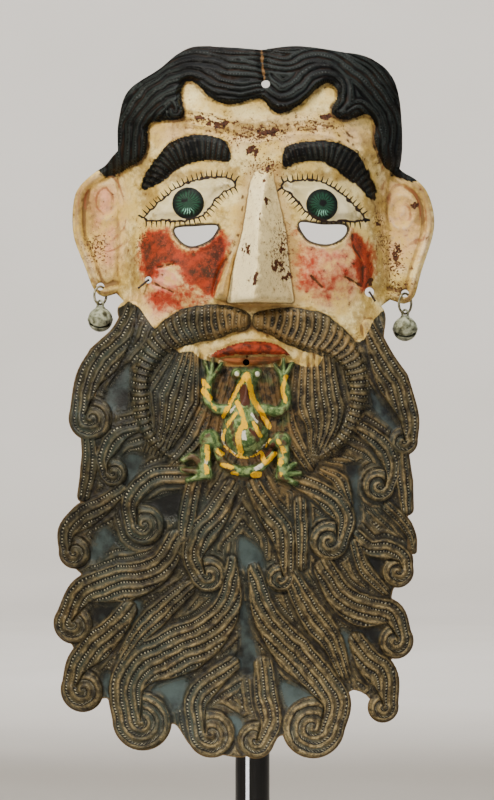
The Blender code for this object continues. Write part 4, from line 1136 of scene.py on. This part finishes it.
def coverOf(tree, got, strength, follows):
    # how far a coat covers: it follows patterns as they are, or from the value where they start
    # to the value where they are full
    share = strength
    for part in follows:
        if isinstance(part, str):
            found = got[part]
        else:
            name, low, high = part
            ends = {1: min(low, high), 2: max(low, high), 3: float(low > high), 4: float(low < high)}
            found = addNode(tree, "ShaderNodeMapRange", soft, {0: got[name], **ends})
        share = found if share == 1 else addNode(tree, "ShaderNodeMath", times, {0: share, 1: found})
    return share


def coated(tree, got, under, coats):
    # lays coats of paint over a colour: each has its colour, its strength and what it follows
    for over, strength, *follows in coats:
        share = coverOf(tree, got, strength, follows)
        under = addNode(tree, "ShaderNodeMix", {"data_type": "RGBA"},
                        {"Factor": share, "A": under, "B": got.get(over, over)})
    return under


def paintedCopper():
    # Oil paint brushed over beaten copper: matt and chalky on the skin, near-black with worn tan
    # ridges on the hair and beard, dirt and painted shade in the hollows and grooves, painted highlights
    # and sheen on raised parts, bead tops, cheeks, iris and hair, flaking to brown metal.
    made, tree, shader, place = newMaterial("painted beaten copper")
    got = {"height": addNode(tree, "ShaderNodeSeparateXYZ", None, {0: place}).outputs[2]}
    for name, parts in packs.items():
        vector = addNode(tree, "ShaderNodeAttribute", {"attribute_name": name}).outputs["Vector"]
        split = addNode(tree, "ShaderNodeSeparateXYZ", None, {0: vector})
        got.update(zip(parts, split.outputs))
    for name in ("broad", "mottle", "grime", "speck", "wobble"):
        got[name] = addNode(tree, "ShaderNodeTexNoise", None,
                            {"Vector": place, "Scale": 1000 / grain[name], "Detail": 4.0, "Roughness": 0.6})
    got["shift"] = summed(tree, got, -1.2, wobble=2.4)
    for name in ("hair", "brow", "beard", "moustache", "lip", "underLip", "yellow", "white"):
        got[name + "Edge"] = summed(tree, got, got["shift"], **{name: 1.0})

    # skin and nose
    # painted shade: strongest where the surface lies deepest below its surroundings
    got["sunk"] = coverOf(tree, got, 1, [("cavity", 0.1, 1.3)])
    # dirt and painted shade together: grime, the blots, the recess shade and broad mottling
    got["dirty"] = summed(tree, got, 0.0, grime=1.0, sunk=0.34, dirt=0.4, broad=0.4)
    got["noseFoot"] = summed(tree, got, 0.0, nose=1.0, grime=1.0)
    # grime on the nose, heavier on its right face, which is painted in shade
    got["noseDirt"] = summed(tree, got, 0.22, noseSide=0.3)
    got["ragged"] = summed(tree, got, -0.8, nose=1.0, grime=1.6)
    got["noseLine"] = addNode(tree, "ShaderNodeMath", plain, {0: summed(tree, got, 0.3, ragged=1.0)})
    # the nose's white paint, with its right face painted in shade
    got["noseSkin"] = coated(tree, got, "#fdeebb", [
        ("#e4cb8c", 0.8, "noseSide"),
        ("#a98a52", 1, ("grime", 0.46, 0.68), "noseDirt"),
        ("#8c6a38", 0.5, ("speck", 0.58, 0.68)),
    ])
    below = ("height", mask["aboveFloor"] + 374 * unit, mask["aboveFloor"] + 354 * unit)
    skin = coated(tree, got, "#e2c36c", [
        ("#f5e2a0", 1, ("mottle", 0.35, 0.65)),
        ("#c9a15a", 0.4, ("speck", 0.5, 0.66)),
        # painted highlight on the raised parts
        ("#fbf0cf", 0.5, ("cavity", -0.1, -1.0), ("grime", 0.4, 0.6)),
        ("#da7c56", 0.64, "pink", ("mottle", 0.2, 0.7)),
        # pale pink painted highlights in patches on the pink paint
        ("#f5cdb8", 0.6, "pink", ("grime", 0.52, 0.66)),
        ("#e2877c", 0.6, ("pink", 0.7, 0.95), ("mottle", 0.3, 0.55)),
        # painted shade in the recesses mixed with dirt and grime: ochre, then dark brown where deepest
        ("#97772f", 0.72, ("dirty", 0.7, 1.04)),
        ("#5e3c1c", 0.8, ("dirty", 1.0, 1.32)),
        # painted shade with dirt in a band round the nose's foot
        ("#a9854e", 0.6, ("nose", -9.0, -2.0), ("noseFoot", 1.2, 0.4)),
        ("noseSkin", 1, ("ragged", -0.3, 0.5), below),
        ("#3f2a14", 0.55, ("noseLine", 0.75, 0.2), below),
    ])

    # cheeks and ears
    got["redness"] = summed(tree, got, -1.6, red=1.35, grime=1.1, mottle=1.5)
    got["patchy"] = summed(tree, got, 0.0, mottle=0.6, grime=0.4)
    got["redPaint"] = coated(tree, got, "#a02706", [
        ("#360602", 1, ("patchy", 0.36, 0.6), ("red", 0.5, 0.95)),    # thin red stays bright
        ("#b83a14", 0.6, ("speck", 0.5, 0.68)),
        ("#1c0a04", 0.6, ("grime", 0.6, 0.7)),
    ])
    got["creaseLine"] = summed(tree, got, 0.0, crease=-0.5, grime=1.6)
    whorls = []
    for k, around in enumerate(paint["whorls"]):
        away = summed(tree, got, -around, whorl=1.0, shift=1.2)
        got["whorl" + str(k)] = addNode(tree, "ShaderNodeMath", plain, {0: away})
        whorls.append(("#8c4e2e", 0.7, ("whorl" + str(k), 1.0, 0.3), ("mottle", 0.4, 0.6), "onEar"))
    skin = coated(tree, got, skin, [
        ("redPaint", 0.97, ("redness", 0.0, 0.7)),
        # pale painted highlights in specks on the red paint
        ("#e8a893", 0.5, "red", ("speck", 0.66, 0.74)),
        ("#3c2012", 0.6, ("red", 0.3, 0.9), ("speck", 0.62, 0.7)),
        ("#4a2a14", 0.9, ("creaseLine", 0.3, 0.7)),
        ("#8a5c2c", 0.65, "earRim"),
        *whorls,
        ("#5a3519", 0.8, ("grime", 0.66, 0.71)),
    ])

    # eyes and lips
    turned = addNode(tree, "ShaderNodeMath", {"operation": "ARCTAN2"}, {0: got["irisV"], 1: got["irisU"]})
    got["turned"] = turned
    got["rays"] = addNode(tree, "ShaderNodeMath", {"operation": "SINE"},
                          {0: summed(tree, got, 0.0, grime=14.0, turned=22.0)})
    got["rayShade"] = summed(tree, got, 0.45, rays=0.4)
    got["irisAside"] = addNode(tree, "ShaderNodeMath", plain, {0: got["irisU"]})
    got["iris"] = coated(tree, got, "#021009", [
        ("#1c4e36", 1, "rayShade"),
        ("#020d09", 1, ("ring", 5.8, 9.2)),
        # painted highlight: pale green rays low in the iris
        ("#8fcfb8", 1, ("irisV", -2.5, -4.5), ("irisV", -7.5, -6.0), ("irisAside", 4.5, 1.0),
        ("rays", -0.4, 0.8)),
    ])
    got["sclera"] = coated(tree, got, "#dccd97", [
        ("#efe2b4", 1, ("mottle", 0.4, 0.6)),
        # painted shade toward the eye's corners, broken by grime
        ("#a08a58", 1, ("ring", 13.0, 27.0), ("grime", 0.4, 0.66)),
    ])
    got["lidEdge"] = addNode(tree, "ShaderNodeMath", plain, {0: summed(tree, got, 0.1, eye=1.0)})
    lash = summed(tree, got, 0.0, lidAlong=1 / grain["lash"])
    got["tooth"] = addNode(tree, "ShaderNodeMath", {"operation": "FRACT"}, {0: lash})
    got["tooth"] = addNode(tree, "ShaderNodeMath", plain, {0: summed(tree, got, -0.5, tooth=1.0)})
    got["lash"] = summed(tree, got, 0.225, eye=0.035, tooth=-1.0)
    got["lipPaint"] = coated(tree, got, "#4a1a08", [("#a03a1a", 1, ("grime", 0.35, 0.65))])
    got["underLipPaint"] = coated(tree, got, "#94562a", [("#5c3418", 1, ("mottle", 0.4, 0.65))])
    skin = coated(tree, got, skin, [
        ("sclera", 1, ("eye", -0.3, 0.2)),
        ("#0c100d", 1, ("ring", 10.3, 9.9)),
        ("iris", 1, ("ring", 9.7, 9.2)),
        ("#020303", 1, ("pupil", 0.2, -0.6)),
        ("#2a180d", 1, ("lidEdge", 0.6, 0.25)),
        ("#0a0503", 1, ("lash", 0.0, 0.07), ("eye", -4.3, -3.7), ("eye", 0.2, -0.2)),
        ("#1c1008", 0.95, ("slit", -1.8, -0.6)),
        ("underLipPaint", 1, ("underLipEdge", -0.6, 0.8)),
        ("lipPaint", 1, ("lipEdge", 0.2, 0.9)),
    ])

    # strands: a rounded ridge and a row of beads in a groove, with painted highlights on the bead tops
    # and painted shade between the beads and in the groove
    phase = addNode(tree, "ShaderNodeMath", {"operation": "ARCTAN2"}, {0: got["sine"], 1: got["cosine"]})
    got["phase"] = addNode(tree, "ShaderNodeMath", {"operation": "DIVIDE"}, {0: phase, 1: 2 * math.pi})
    got["apart"] = addNode(tree, "ShaderNodeMath", plain, {0: got["phase"]})
    bead = summed(tree, got, 0.0, along=2 * math.pi / grain["bead"], grime=2.5)
    got["bead"] = addNode(tree, "ShaderNodeMath", {"operation": "COSINE"}, {0: bead})
    got["row"] = addNode(tree, "ShaderNodeMath", {"operation": "FRACT"},
                         {0: summed(tree, got, 0.07, phase=1.0)})
    got["row"] = addNode(tree, "ShaderNodeMath", plain, {0: summed(tree, got, -0.5, row=1.0)})
    got["ridgeAway"] = summed(tree, got, -0.07, apart=1.0, grime=0.14)
    beadRow = [("row", 0.12, 0.07), "cover"]
    # painted highlights on the bead tops
    got["beads"] = coverOf(tree, got, 1, [("bead", 0.0, 0.7), *beadRow])
    # painted shade in the gaps between the beads
    got["pits"] = coverOf(tree, got, 1, [("bead", 0.1, -0.6), *beadRow])
    got["ridge"] = coverOf(tree, got, 1, [("ridgeAway", 0.26, 0.12), "cover"])
    groove = coverOf(tree, got, 1, [("phase", 0.24, 0.3), ("phase", 0.42, 0.36), "cover"])
    got["sunkLines"] = addNode(tree, "ShaderNodeMath", most, {0: groove, 1: got["pits"]})
    # high where the locks' cover fades: at their edges and at their feet
    got["uncovered"] = addNode(tree, "ShaderNodeMath", less, {0: 1.0, 1: got["cover"]})
    got["shallow"] = addNode(tree, "ShaderNodeMath", less, {0: 1.0, 1: got["hollow"]})

    # beard and moustache
    got["worn"] = summed(tree, got, -1.42, side=0.42, mottle=1.6, broad=1.2, lower=0.4, dust=0.7)
    got["wear"] = coverOf(tree, got, 1, [("worn", 0.0, 0.9)])
    got["ridgeWear"] = summed(tree, got, 0.12, wear=0.7)
    got["grit"] = coverOf(tree, got, 1, [("grime", 0.42, 0.58)])
    got["beadWear"] = summed(tree, got, 0.15, grit=0.75)
    got["depth"] = summed(tree, got, -1.8, tone=1.0, mottle=3.4)
    got["wornCoat"] = coated(tree, got, "#2c2516", [("#65593a", 1, ("grime", 0.36, 0.62))])
    got["tan"] = coated(tree, got, "#4a3d24", [
        ("#96835a", 1, ("grime", 0.34, 0.6)),
        ("#1c1810", 0.75, ("speck", 0.47, 0.62)),
    ])
    # black paint with a slate painted reflection, its strength set per hollow and mottled
    got["hollowPaint"] = coated(tree, got, "#050607", [("#435150", 1, ("depth", -0.8, 0.9))])
    got["beardPaint"] = coated(tree, got, "#17150e", [
        ("#3d3a28", 1, ("grime", 0.33, 0.66)),
        ("wornCoat", 0.85, ("worn", -0.1, 0.8)),
        ("#2e3a34", 0.65, ("broad", 0.48, 0.62)),
        ("#2c1f13", 0.5, ("mottle", 0.54, 0.68)),
        # painted shade: near-black in the grooves and the gaps between beads
        ("#020201", 0.93, "sunkLines"),
        ("tan", 1, "ridge", "ridgeWear"),
        # painted highlights on the bead tops, broken up by grime
        ("#a8a289", 1, "beads", "beadWear"),
        ("#a5854f", 0.5, ("cavity", -0.1, -1.0), "dust"),
        ("#6d5632", 0.6, "dust", ("grime", 0.42, 0.6)),
        ("hollowPaint", 0.95, "hollow"),
        # painted shade along the edges and feet of the locks, on open ground
        ("#080604", 0.7, "uncovered", "shallow"),
    ])

    # hair and brows
    got["onBrow"] = coverOf(tree, got, 1, [("browEdge", -0.2, 0.6)])
    got["browWear"] = summed(tree, got, 0.2, onBrow=0.55)
    got["hairPaint"] = coated(tree, got, "#010101", [
        ("#0b0e0f", 1, ("grime", 0.42, 0.7)),
        # painted sheen: slate grey on the flanks of the hair's cords, in broad patches
        ("#2e3633", 0.5, ("broad", 0.42, 0.56), ("apart", 0.12, 0.3), ("apart", 0.47, 0.38)),
        # dim painted highlights on the hair's bead tops
        ("#3c4140", 1, "beads", ("mottle", 0.45, 0.62)),
        # paler on the cords' crests, more on the brows than on the hair
        ("#3a362e", 1, ("apart", 0.3, 0.45), ("grime", 0.4, 0.6), "browWear"),
        ("#20150c", 1, ("apart", 0.2, 0.05), ("mottle", 0.45, 0.62)),
    ])

    # what covers what: flakes off the skin, the dark paint, the hair, the crack in the parting
    got["onBeard"] = coverOf(tree, got, 1, [("beardEdge", -0.4, 0.6)])
    got["onMoustache"] = coverOf(tree, got, 1, [("moustacheEdge", -0.2, 0.8)])
    got["onHair"] = coverOf(tree, got, 1, [("hairEdge", -0.4, 0.6)])
    got["dark"] = addNode(tree, "ShaderNodeMath", most, {0: got["onBeard"], 1: got["onMoustache"]})
    got["hairy"] = addNode(tree, "ShaderNodeMath", most, {0: got["onHair"], 1: got["onBrow"]})
    covered = addNode(tree, "ShaderNodeMath", most, {0: got["dark"], 1: got["hairy"]})
    got["bareSkin"] = addNode(tree, "ShaderNodeMath", less, {0: 1.0, 1: covered})
    got["flaking"] = summed(tree, got, 0.0, bare=0.42, grime=1.0)
    got["fineFlaking"] = summed(tree, got, 0.0, speckled=0.2, speck=1.0)
    large = coverOf(tree, got, 1, [("flaking", 0.76, 0.8)])
    small = coverOf(tree, got, 1, [("fineFlaking", 0.695, 0.745)])
    got["flaked"] = addNode(tree, "ShaderNodeMath", most, {0: large, 1: small})
    got["chinDirt"] = summed(tree, got, 0.0, chin=0.3, grime=1.0)
    got["crack"] = summed(tree, got, 0.0, parting=1.0, shift=1.6)
    got["chinBrown"] = coated(tree, got, "#2c1f12", [("#6b4f2c", 1, ("grime", 0.4, 0.62))])
    got["bareMetal"] = coated(tree, got, "#2a130a", [("#5a3218", 1, ("speck", 0.35, 0.65))])
    got["yellowPaint"] = coated(tree, got, "#e6a200", [("#ffd200", 1, "speck")])
    got["frogPaint"] = coated(tree, got, "#3a5226", [
        ("#869a62", 1, ("grime", 0.4, 0.62)),
        ("#4f2c20", 0.78, ("mottle", 0.52, 0.6)),
        ("#1e2a14", 0.6, ("frog", 1.5, 0.2)),
        ("#4a2818", 1, ("brown", -0.2, 0.4)),
        # painted shade in the frog's recesses, broken up by grime
        ("#20150c", 0.5, "sunk", ("grime", 0.4, 0.6)),
    ])
    chin = ["chin", ("chinDirt", 0.55, 0.8)]
    chipped = ("speck", 0.3, 0.4)
    colour = coated(tree, got, skin, [
        ("beardPaint", 1, "dark"),
        ("chinBrown", 0.7, *chin, "dark"),
        ("#46603a", 0.5, *chin, ("mottle", 0.56, 0.66)),
        ("hairPaint", 1, "hairy"),
        ("#7a5a34", 0.8, ("crack", 0.9, 0.3)),
        ("bareMetal", 1, "flaked", "bareSkin"),
        ("#6b5430", 0.7, ("edge", 1.1, 0.4), "dark"),
        ("frogPaint", 1, ("frog", -0.3, 0.5)),
        ("#d9d6c2", 1, ("whiteEdge", 0.0, 0.5), chipped),
        ("yellowPaint", 1, ("yellowEdge", 0.0, 0.4), chipped),
    ])

    got["ridgeDark"] = coverOf(tree, got, 1, ["ridge", "dark"])
    got["flakedSkin"] = coverOf(tree, got, 1, ["flaked", "bareSkin"])
    height = summed(tree, got, 0.0, grime=0.4, speck=0.35, beads=0.9, ridgeDark=0.7, flakedSkin=-0.5)
    bump = addNode(tree, "ShaderNodeBump", None,
                   {"Strength": 0.9, "Distance": grain["bump"], "Height": height})
    connect(tree, shader, {"Base Color": colour, "Normal": bump,
                           "Roughness": summed(tree, got, 0.34, grime=0.35, bareSkin=0.12),
                           "Specular IOR Level": summed(tree, got, 0.26, hairy=-0.12)})
    return made


def bareCopper():
    # Old unpainted copper sheet: brown oxide in blotches 25 mm across over a dull, finely pitted sheen.
    made, tree, shader, place = newMaterial("tarnished copper sheet")
    broad = addNode(tree, "ShaderNodeTexNoise", None, {"Vector": place, "Scale": 40.0, "Detail": 5.0})
    fine = addNode(tree, "ShaderNodeTexNoise", None, {"Vector": place, "Scale": 350.0, "Detail": 3.0})
    colour = addNode(tree, "ShaderNodeValToRGB",
                     {"stops": [(0.3, "#2a1810"), (0.5, "#6a3d22"), (0.7, "#94603a")]}, {"Fac": broad})
    rough = addNode(tree, "ShaderNodeMath", {"operation": "MULTIPLY_ADD"}, {0: fine, 1: 0.3, 2: 0.38})
    bump = addNode(tree, "ShaderNodeBump", None, {"Strength": 0.5, "Distance": 0.0003, "Height": fine})
    connect(tree, shader, {"Base Color": colour, "Roughness": rough, "Normal": bump, "Metallic": 0.85})
    return made


maskPiece.data.materials.append(paintedCopper())
maskPiece.data.materials.append(bareCopper())
print("mask painted")


# The bells and their hoops, in metres. The slot runs across the ball's front and is wider at its ends.
bell = {
    "radius": 0.0079,
    "wall": 0.0008,
    "seam": 0.0011,
    "seamStep": 0.00025,
    "slot": (0.0104, 0.009, 0.0018),
    "slotOut": 0.006,
    "slotTurn": math.radians(42),
    "endRadius": 0.0014,
    "endDepth": 0.010,
    "endApart": 0.0054,
    "endOut": 0.005,
    "collarRadius": 0.0038,
    "collarTop": 0.62,
    "collarHeight": 0.0022,
    "collarSink": 0.0003,
    "collarBevel": 0.0004,
    "loopRadius": 0.0024,
    "loopWire": 0.0007,
    "hoopWire": 0.0008,
    "hoopThin": 0.96,
    "wound": {"span": 0.42, "thicker": 1.12, "swell": 0.14, "turns": 45},
}


def onlyActive(thing):
    bpy.ops.object.select_all(action="DESELECT")
    thing.select_set(True)
    bpy.context.view_layer.objects.active = thing


def cutOrJoin(thing, other, operation):
    change = thing.modifiers.new(operation, "BOOLEAN")
    change.operation = operation
    change.object = other
    onlyActive(thing)
    bpy.ops.object.modifier_apply(modifier=change.name)
    bpy.data.objects.remove(other)


def verdigrisBrass():
    # Cast brass left outdoors: pale green bloom in 3 mm patches over dull brown-yellow metal.
    made, tree, shader, place = newMaterial("verdigris brass")
    patch = addNode(tree, "ShaderNodeTexNoise", None, {"Vector": place, "Scale": 330.0, "Detail": 4.0})
    fine = addNode(tree, "ShaderNodeTexNoise", None, {"Vector": place, "Scale": 1100.0, "Detail": 3.0})
    colour = addNode(tree, "ShaderNodeValToRGB", {"stops": [
        (0.3, "#45432f"), (0.43, "#6f725a"), (0.56, "#94987e"), (0.72, "#b4b79f")]}, {"Fac": patch})
    metal = addNode(tree, "ShaderNodeMapRange", soft, {0: patch, 1: 0.5, 2: 0.36, 3: 0.1, 4: 0.8})
    rough = addNode(tree, "ShaderNodeMath", {"operation": "MULTIPLY_ADD"}, {0: fine, 1: 0.35, 2: 0.38})
    bump = addNode(tree, "ShaderNodeBump", None, {"Strength": 0.7, "Distance": 0.0003, "Height": fine})
    connect(tree, shader, {"Base Color": colour, "Metallic": metal, "Roughness": rough, "Normal": bump})
    return made


def dullWire():
    # Drawn brass wire gone brown: darker patches 2 mm long on a dull sheen.
    made, tree, shader, place = newMaterial("tarnished brass wire")
    patch = addNode(tree, "ShaderNodeTexNoise", None, {"Vector": place, "Scale": 500.0, "Detail": 3.0})
    colour = addNode(tree, "ShaderNodeValToRGB", {"stops": [
        (0.35, "#4a4630"), (0.6, "#9a9476"), (0.75, "#c4c2a8")]}, {"Fac": patch})
    bump = addNode(tree, "ShaderNodeBump", None, {"Strength": 0.5, "Distance": 0.0002, "Height": patch})
    connect(tree, shader, {"Base Color": colour, "Normal": bump, "Metallic": 0.7, "Roughness": 0.42})
    return made


brass, wireMetal = verdigrisBrass(), dullWire()


def makeBell(side):
    low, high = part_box("bell_" + side)
    x, y, z = (low[0] + high[0]) / 2, (low[1] + high[1]) / 2, low[2] + bell["radius"] + 0.0001
    top = high[2] - bell["loopRadius"] - bell["loopWire"]
    bpy.ops.object.select_all(action="DESELECT")
    bpy.ops.mesh.primitive_uv_sphere_add(segments=48, ring_count=24, radius=bell["radius"],
                                         location=(x, y, z))
    ball = bpy.context.active_object
    bpy.ops.object.transform_apply(location=True, rotation=True, scale=True)
    # the rolled seam where the two halves meet
    bpy.ops.object.mode_set(mode="EDIT")
    shape = bmesh.from_edit_mesh(ball.data)
    for face in shape.faces:
        face.select_set(abs(face.calc_center_median().z - z) < bell["seam"])
    bmesh.update_edit_mesh(ball.data)
    bpy.ops.mesh.inset(thickness=bell["seamStep"], depth=bell["seamStep"])
    bpy.ops.object.mode_set(mode="OBJECT")
    wall = ball.modifiers.new("wall", "SOLIDIFY")
    wall.thickness = bell["wall"]
    wall.offset = -1
    onlyActive(ball)
    bpy.ops.object.modifier_apply(modifier="wall")
    # the slot, wider at its two ends
    aim = bell["slotTurn"]
    out = Vector((0, -math.cos(aim), -math.sin(aim)))
    bpy.ops.mesh.primitive_cube_add(size=1, location=Vector((x, y, z)) + out * bell["slotOut"])
    cutter = bpy.context.active_object
    cutter.scale = bell["slot"]
    cutter.rotation_euler = (aim, 0, 0)
    cutOrJoin(ball, cutter, "DIFFERENCE")
    for aside in (-1, 1):
        at = Vector((x + aside * bell["endApart"], y, z)) + out * bell["endOut"]
        bpy.ops.mesh.primitive_cylinder_add(vertices=20, radius=bell["endRadius"], depth=bell["endDepth"],
                                            location=at)
        cutter = bpy.context.active_object
        cutter.rotation_euler = (aim + math.pi / 2, 0, 0)
        cutOrJoin(ball, cutter, "DIFFERENCE")
    bpy.ops.mesh.primitive_cone_add(vertices=32, radius1=bell["collarRadius"],
                                    radius2=bell["collarRadius"] * bell["collarTop"],
                                    depth=bell["collarHeight"],
                                    location=(x, y, z + bell["radius"] - bell["collarSink"]))
    collar = bpy.context.active_object
    rounded = collar.modifiers.new("rounded", "BEVEL")
    rounded.width = bell["collarBevel"]
    rounded.segments = 3
    bpy.ops.object.modifier_apply(modifier="rounded")
    cutOrJoin(ball, collar, "UNION")
    bpy.ops.mesh.primitive_torus_add(major_segments=32, minor_segments=10, major_radius=bell["loopRadius"],
                                     minor_radius=bell["loopWire"], location=(x, y, top),
                                     rotation=(math.pi / 2, 0, -earring["hoopTurn"]))
    cutOrJoin(ball, bpy.context.active_object, "UNION")
    ball.name = "bell_cast_" + side
    onlyActive(ball)
    bpy.ops.object.shade_smooth_by_angle(angle=math.radians(35))
    ball.data.materials.append(brass)
    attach(ball, "root")
    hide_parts("bell_" + side)


def makeHoop(side):
    low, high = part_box("earring_hoop_" + side)
    middle = Vector([(a + b) / 2 for a, b in zip(low, high)])
    radius = (high[2] - low[2]) / 2 - bell["hoopWire"]
    bpy.ops.object.select_all(action="DESELECT")
    bpy.ops.mesh.primitive_torus_add(major_segments=64, minor_segments=12, major_radius=radius,
                                     minor_radius=bell["hoopWire"] * bell["hoopThin"], location=middle,
                                     rotation=(math.pi / 2, 0, math.pi / 2 - earring["hoopTurn"]))
    hoop = bpy.context.active_object
    hoop.name = "hoop_wire_" + side
    bpy.ops.object.transform_apply(location=True, rotation=True, scale=True)
    # where the wire's end is wound on: a few thicker turns at the back of the hoop
    wound = bell["wound"]
    for point in hoop.data.vertices:
        way = point.co - middle
        height = math.atan2(way.z, way.xy.length * (1 if way.y > 0 else -1))
        if abs(height) < wound["span"]:
            flat = way.normalized() * radius
            thick = wound["thicker"] + wound["swell"] * math.cos(height * wound["turns"])
            point.co = middle + flat + (way - flat) * thick
    bpy.ops.object.shade_smooth()
    hoop.data.materials.append(wireMetal)
    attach(hoop, "root")
    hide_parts("earring_hoop_" + side)


for side in ("left", "right"):
    makeBell(side)
    makeHoop(side)
print("bells and hoops made")


def finished(names, made):
    for name in names:
        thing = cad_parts[name]
        thing.data.materials.clear()
        thing.data.materials.append(made)


def glossBlack():
    # Stoved black enamel on steel: deep gloss, orange peel 2.4 mm across and faint smears.
    made, tree, shader, place = newMaterial("gloss black steel")
    peel = addNode(tree, "ShaderNodeTexNoise", None, {"Vector": place, "Scale": 420.0, "Detail": 2.0})
    smear = addNode(tree, "ShaderNodeTexNoise", None, {"Vector": place, "Scale": 30.0, "Detail": 4.0})
    colour = addNode(tree, "ShaderNodeValToRGB", {"stops": [(0.3, "#020202"), (0.8, "#040404")]},
                     {"Fac": smear})
    rough = addNode(tree, "ShaderNodeMapRange", None, {0: smear, 1: 0.3, 2: 0.8, 3: 0.05, 4: 0.13})
    bump = addNode(tree, "ShaderNodeBump", None, {"Strength": 0.15, "Distance": 0.0002, "Height": peel})
    connect(tree, shader, {"Base Color": colour, "Roughness": rough, "Normal": bump,
                           "Specular IOR Level": 0.25})
    return made


def greyFelt():
    # Pressed wool felt: fibres about 0.4 mm apart, no sheen.
    made, tree, shader, place = newMaterial("grey felt")
    fibres = addNode(tree, "ShaderNodeTexNoise", None, {"Vector": place, "Scale": 2500.0, "Detail": 3.0})
    colour = addNode(tree, "ShaderNodeValToRGB", {"stops": [(0.3, "#26262a"), (0.7, "#4d4d52")]},
                     {"Fac": fibres})
    bump = addNode(tree, "ShaderNodeBump", None, {"Strength": 0.6, "Distance": 0.0003, "Height": fibres})
    connect(tree, shader, {"Base Color": colour, "Normal": bump, "Roughness": 0.95})
    return made


def darkWire():
    # Old iron wire: near-black scale with rust in patches 1.4 mm across.
    made, tree, shader, place = newMaterial("rusted iron wire")
    patch = addNode(tree, "ShaderNodeTexNoise", None, {"Vector": place, "Scale": 700.0, "Detail": 3.0})
    colour = addNode(tree, "ShaderNodeValToRGB", {"stops": [(0.4, "#14110e"), (0.7, "#4a2f1c")]},
                     {"Fac": patch})
    connect(tree, shader, {"Base Color": colour, "Metallic": 0.3, "Roughness": 0.6})
    return made


finished(["stand_rod", "stand_base", "cradle_bar_upper", "cradle_bar_lower"], glossBlack())
finished(["pad_upper_left", "pad_upper_right", "pad_lower_left", "pad_lower_right"], greyFelt())
finished(["tie_wire_left", "tie_wire_right"], darkWire())
print("stand finished")

# The studio in metres, its wall clear of a camera that turns round the mask.
room = {"width": 16.0, "front": -10.0, "back": 5.2, "bend": 1.4, "bendSteps": 12, "height": 4.0}


def makeRoom():
    # a pale floor that sweeps up into the wall behind
    bpy.ops.object.select_all(action="DESELECT")
    bpy.ops.mesh.primitive_plane_add(size=1, location=(0, 0, 0))
    floor = bpy.context.active_object
    floor.name = "studio_floor"
    bend, start = room["bend"], room["back"] - room["bend"]
    for point in floor.data.vertices:
        point.co = (point.co.x * room["width"], room["front"] if point.co.y < 0 else start, 0)
    bpy.ops.object.mode_set(mode="EDIT")
    shape = bmesh.from_edit_mesh(floor.data)
    for edge in shape.edges:
        edge.select_set(all(abs(end.co.y - start) < 0.001 for end in edge.verts))
    bmesh.update_edit_mesh(floor.data)
    turn = math.pi / 2 / room["bendSteps"]
    for k in range(room["bendSteps"]):
        angle, after = turn * k, turn * (k + 1)
        forward = bend * (math.sin(after) - math.sin(angle))
        rise = bend * (math.cos(angle) - math.cos(after))
        bpy.ops.mesh.extrude_region_move(TRANSFORM_OT_translate={"value": (0, forward, rise)})
    bpy.ops.mesh.extrude_region_move(TRANSFORM_OT_translate={"value": (0, 0, room["height"])})
    bpy.ops.mesh.select_all(action="SELECT")
    bpy.ops.mesh.normals_make_consistent(inside=True)
    bpy.ops.object.mode_set(mode="OBJECT")
    bpy.ops.object.shade_smooth()
    # Matt background paper: barely mottled, no sheen.
    made, tree, shader, place = newMaterial("pale studio paper")
    tooth = addNode(tree, "ShaderNodeTexNoise", None, {"Vector": place, "Scale": 3.0, "Detail": 2.0})
    colour = addNode(tree, "ShaderNodeValToRGB", {"stops": [(0.3, "#cfcac2"), (0.7, "#d6d1ca")]},
                     {"Fac": tooth})
    connect(tree, shader, {"Base Color": colour, "Roughness": 0.9})
    floor.data.materials.append(made)


makeRoom()


# How the photograph shows the mask: a pixel in millimetres, and the pixels of its middle and beard's foot.
shot = {"pixel": 0.63, "middle": 252.5, "foot": 757, "size": (494, 800), "distance": 2.6, "sensor": 24}


def camera():
    data = bpy.data.cameras.new("camera")
    data.sensor_fit = "VERTICAL"
    data.sensor_height = shot["sensor"]
    view = bpy.data.objects.new("camera", data)
    bpy.context.scene.collection.objects.link(view)
    pixel = shot["pixel"] / 1000
    wide, high = shot["size"]
    data.lens = shot["sensor"] * shot["distance"] / (high * pixel)
    view.location = ((wide / 2 - shot["middle"]) * pixel, -shot["distance"] - 0.03,
                     mask["aboveFloor"] + (shot["foot"] - high / 2) * pixel)
    view.rotation_euler = (math.radians(90), 0, 0)
    bpy.context.scene.camera = view


def lightAt(name, place, aim, size, power, colour="#ffffff", spread=180):
    data = bpy.data.lights.new(name, "AREA")
    data.shape = "RECTANGLE"
    data.size, data.size_y = size
    data.energy = power
    data.color = linearColour(colour)[:3]
    data.spread = math.radians(spread)
    lamp = bpy.data.objects.new(name, data)
    bpy.context.scene.collection.objects.link(lamp)
    lamp.location = place
    lamp.rotation_euler = (Vector(aim) - Vector(place)).to_track_quat("-Z", "Y").to_euler()


camera()
# Each light: where it stands, what it is aimed at, its size, its power in watts.
lightAt("key", (-1.0, -1.35, 1.4), (0, 0, 0.33), (0.35, 0.45), 44, "#fff6e8")
lightAt("fill", (1.3, -1.5, 0.7), (0, 0, 0.33), (0.7, 0.9), 10, "#f4f6ff")
lightAt("top", (0.1, -0.2, 1.9), (0, 0, 0.33), (0.8, 0.6), 9)
lightAt("stripLeft", (-0.34, -0.46, 0.05), (0, 0, 0.05), (0.10, 0.10), 0.07, spread=24)
lightAt("stripRight", (0.2, -0.52, 0.05), (0, 0, 0.05), (0.06, 0.10), 0.05, spread=24)
lightAt("over", (0.0, -0.6, 2.6), (0, 1.0, 0.5), (2.0, 0.8), 46)
lightAt("wall", (0.0, 0.9, 2.3), (0, 5.2, 1.1), (3.0, 0.6), 158, spread=140)
world = bpy.data.worlds.new("studio")
world.use_nodes = True
connect(world.node_tree, world.node_tree.nodes["Background"], {"Color": "#e9e6e1", "Strength": 0.15})
bpy.context.scene.world = world
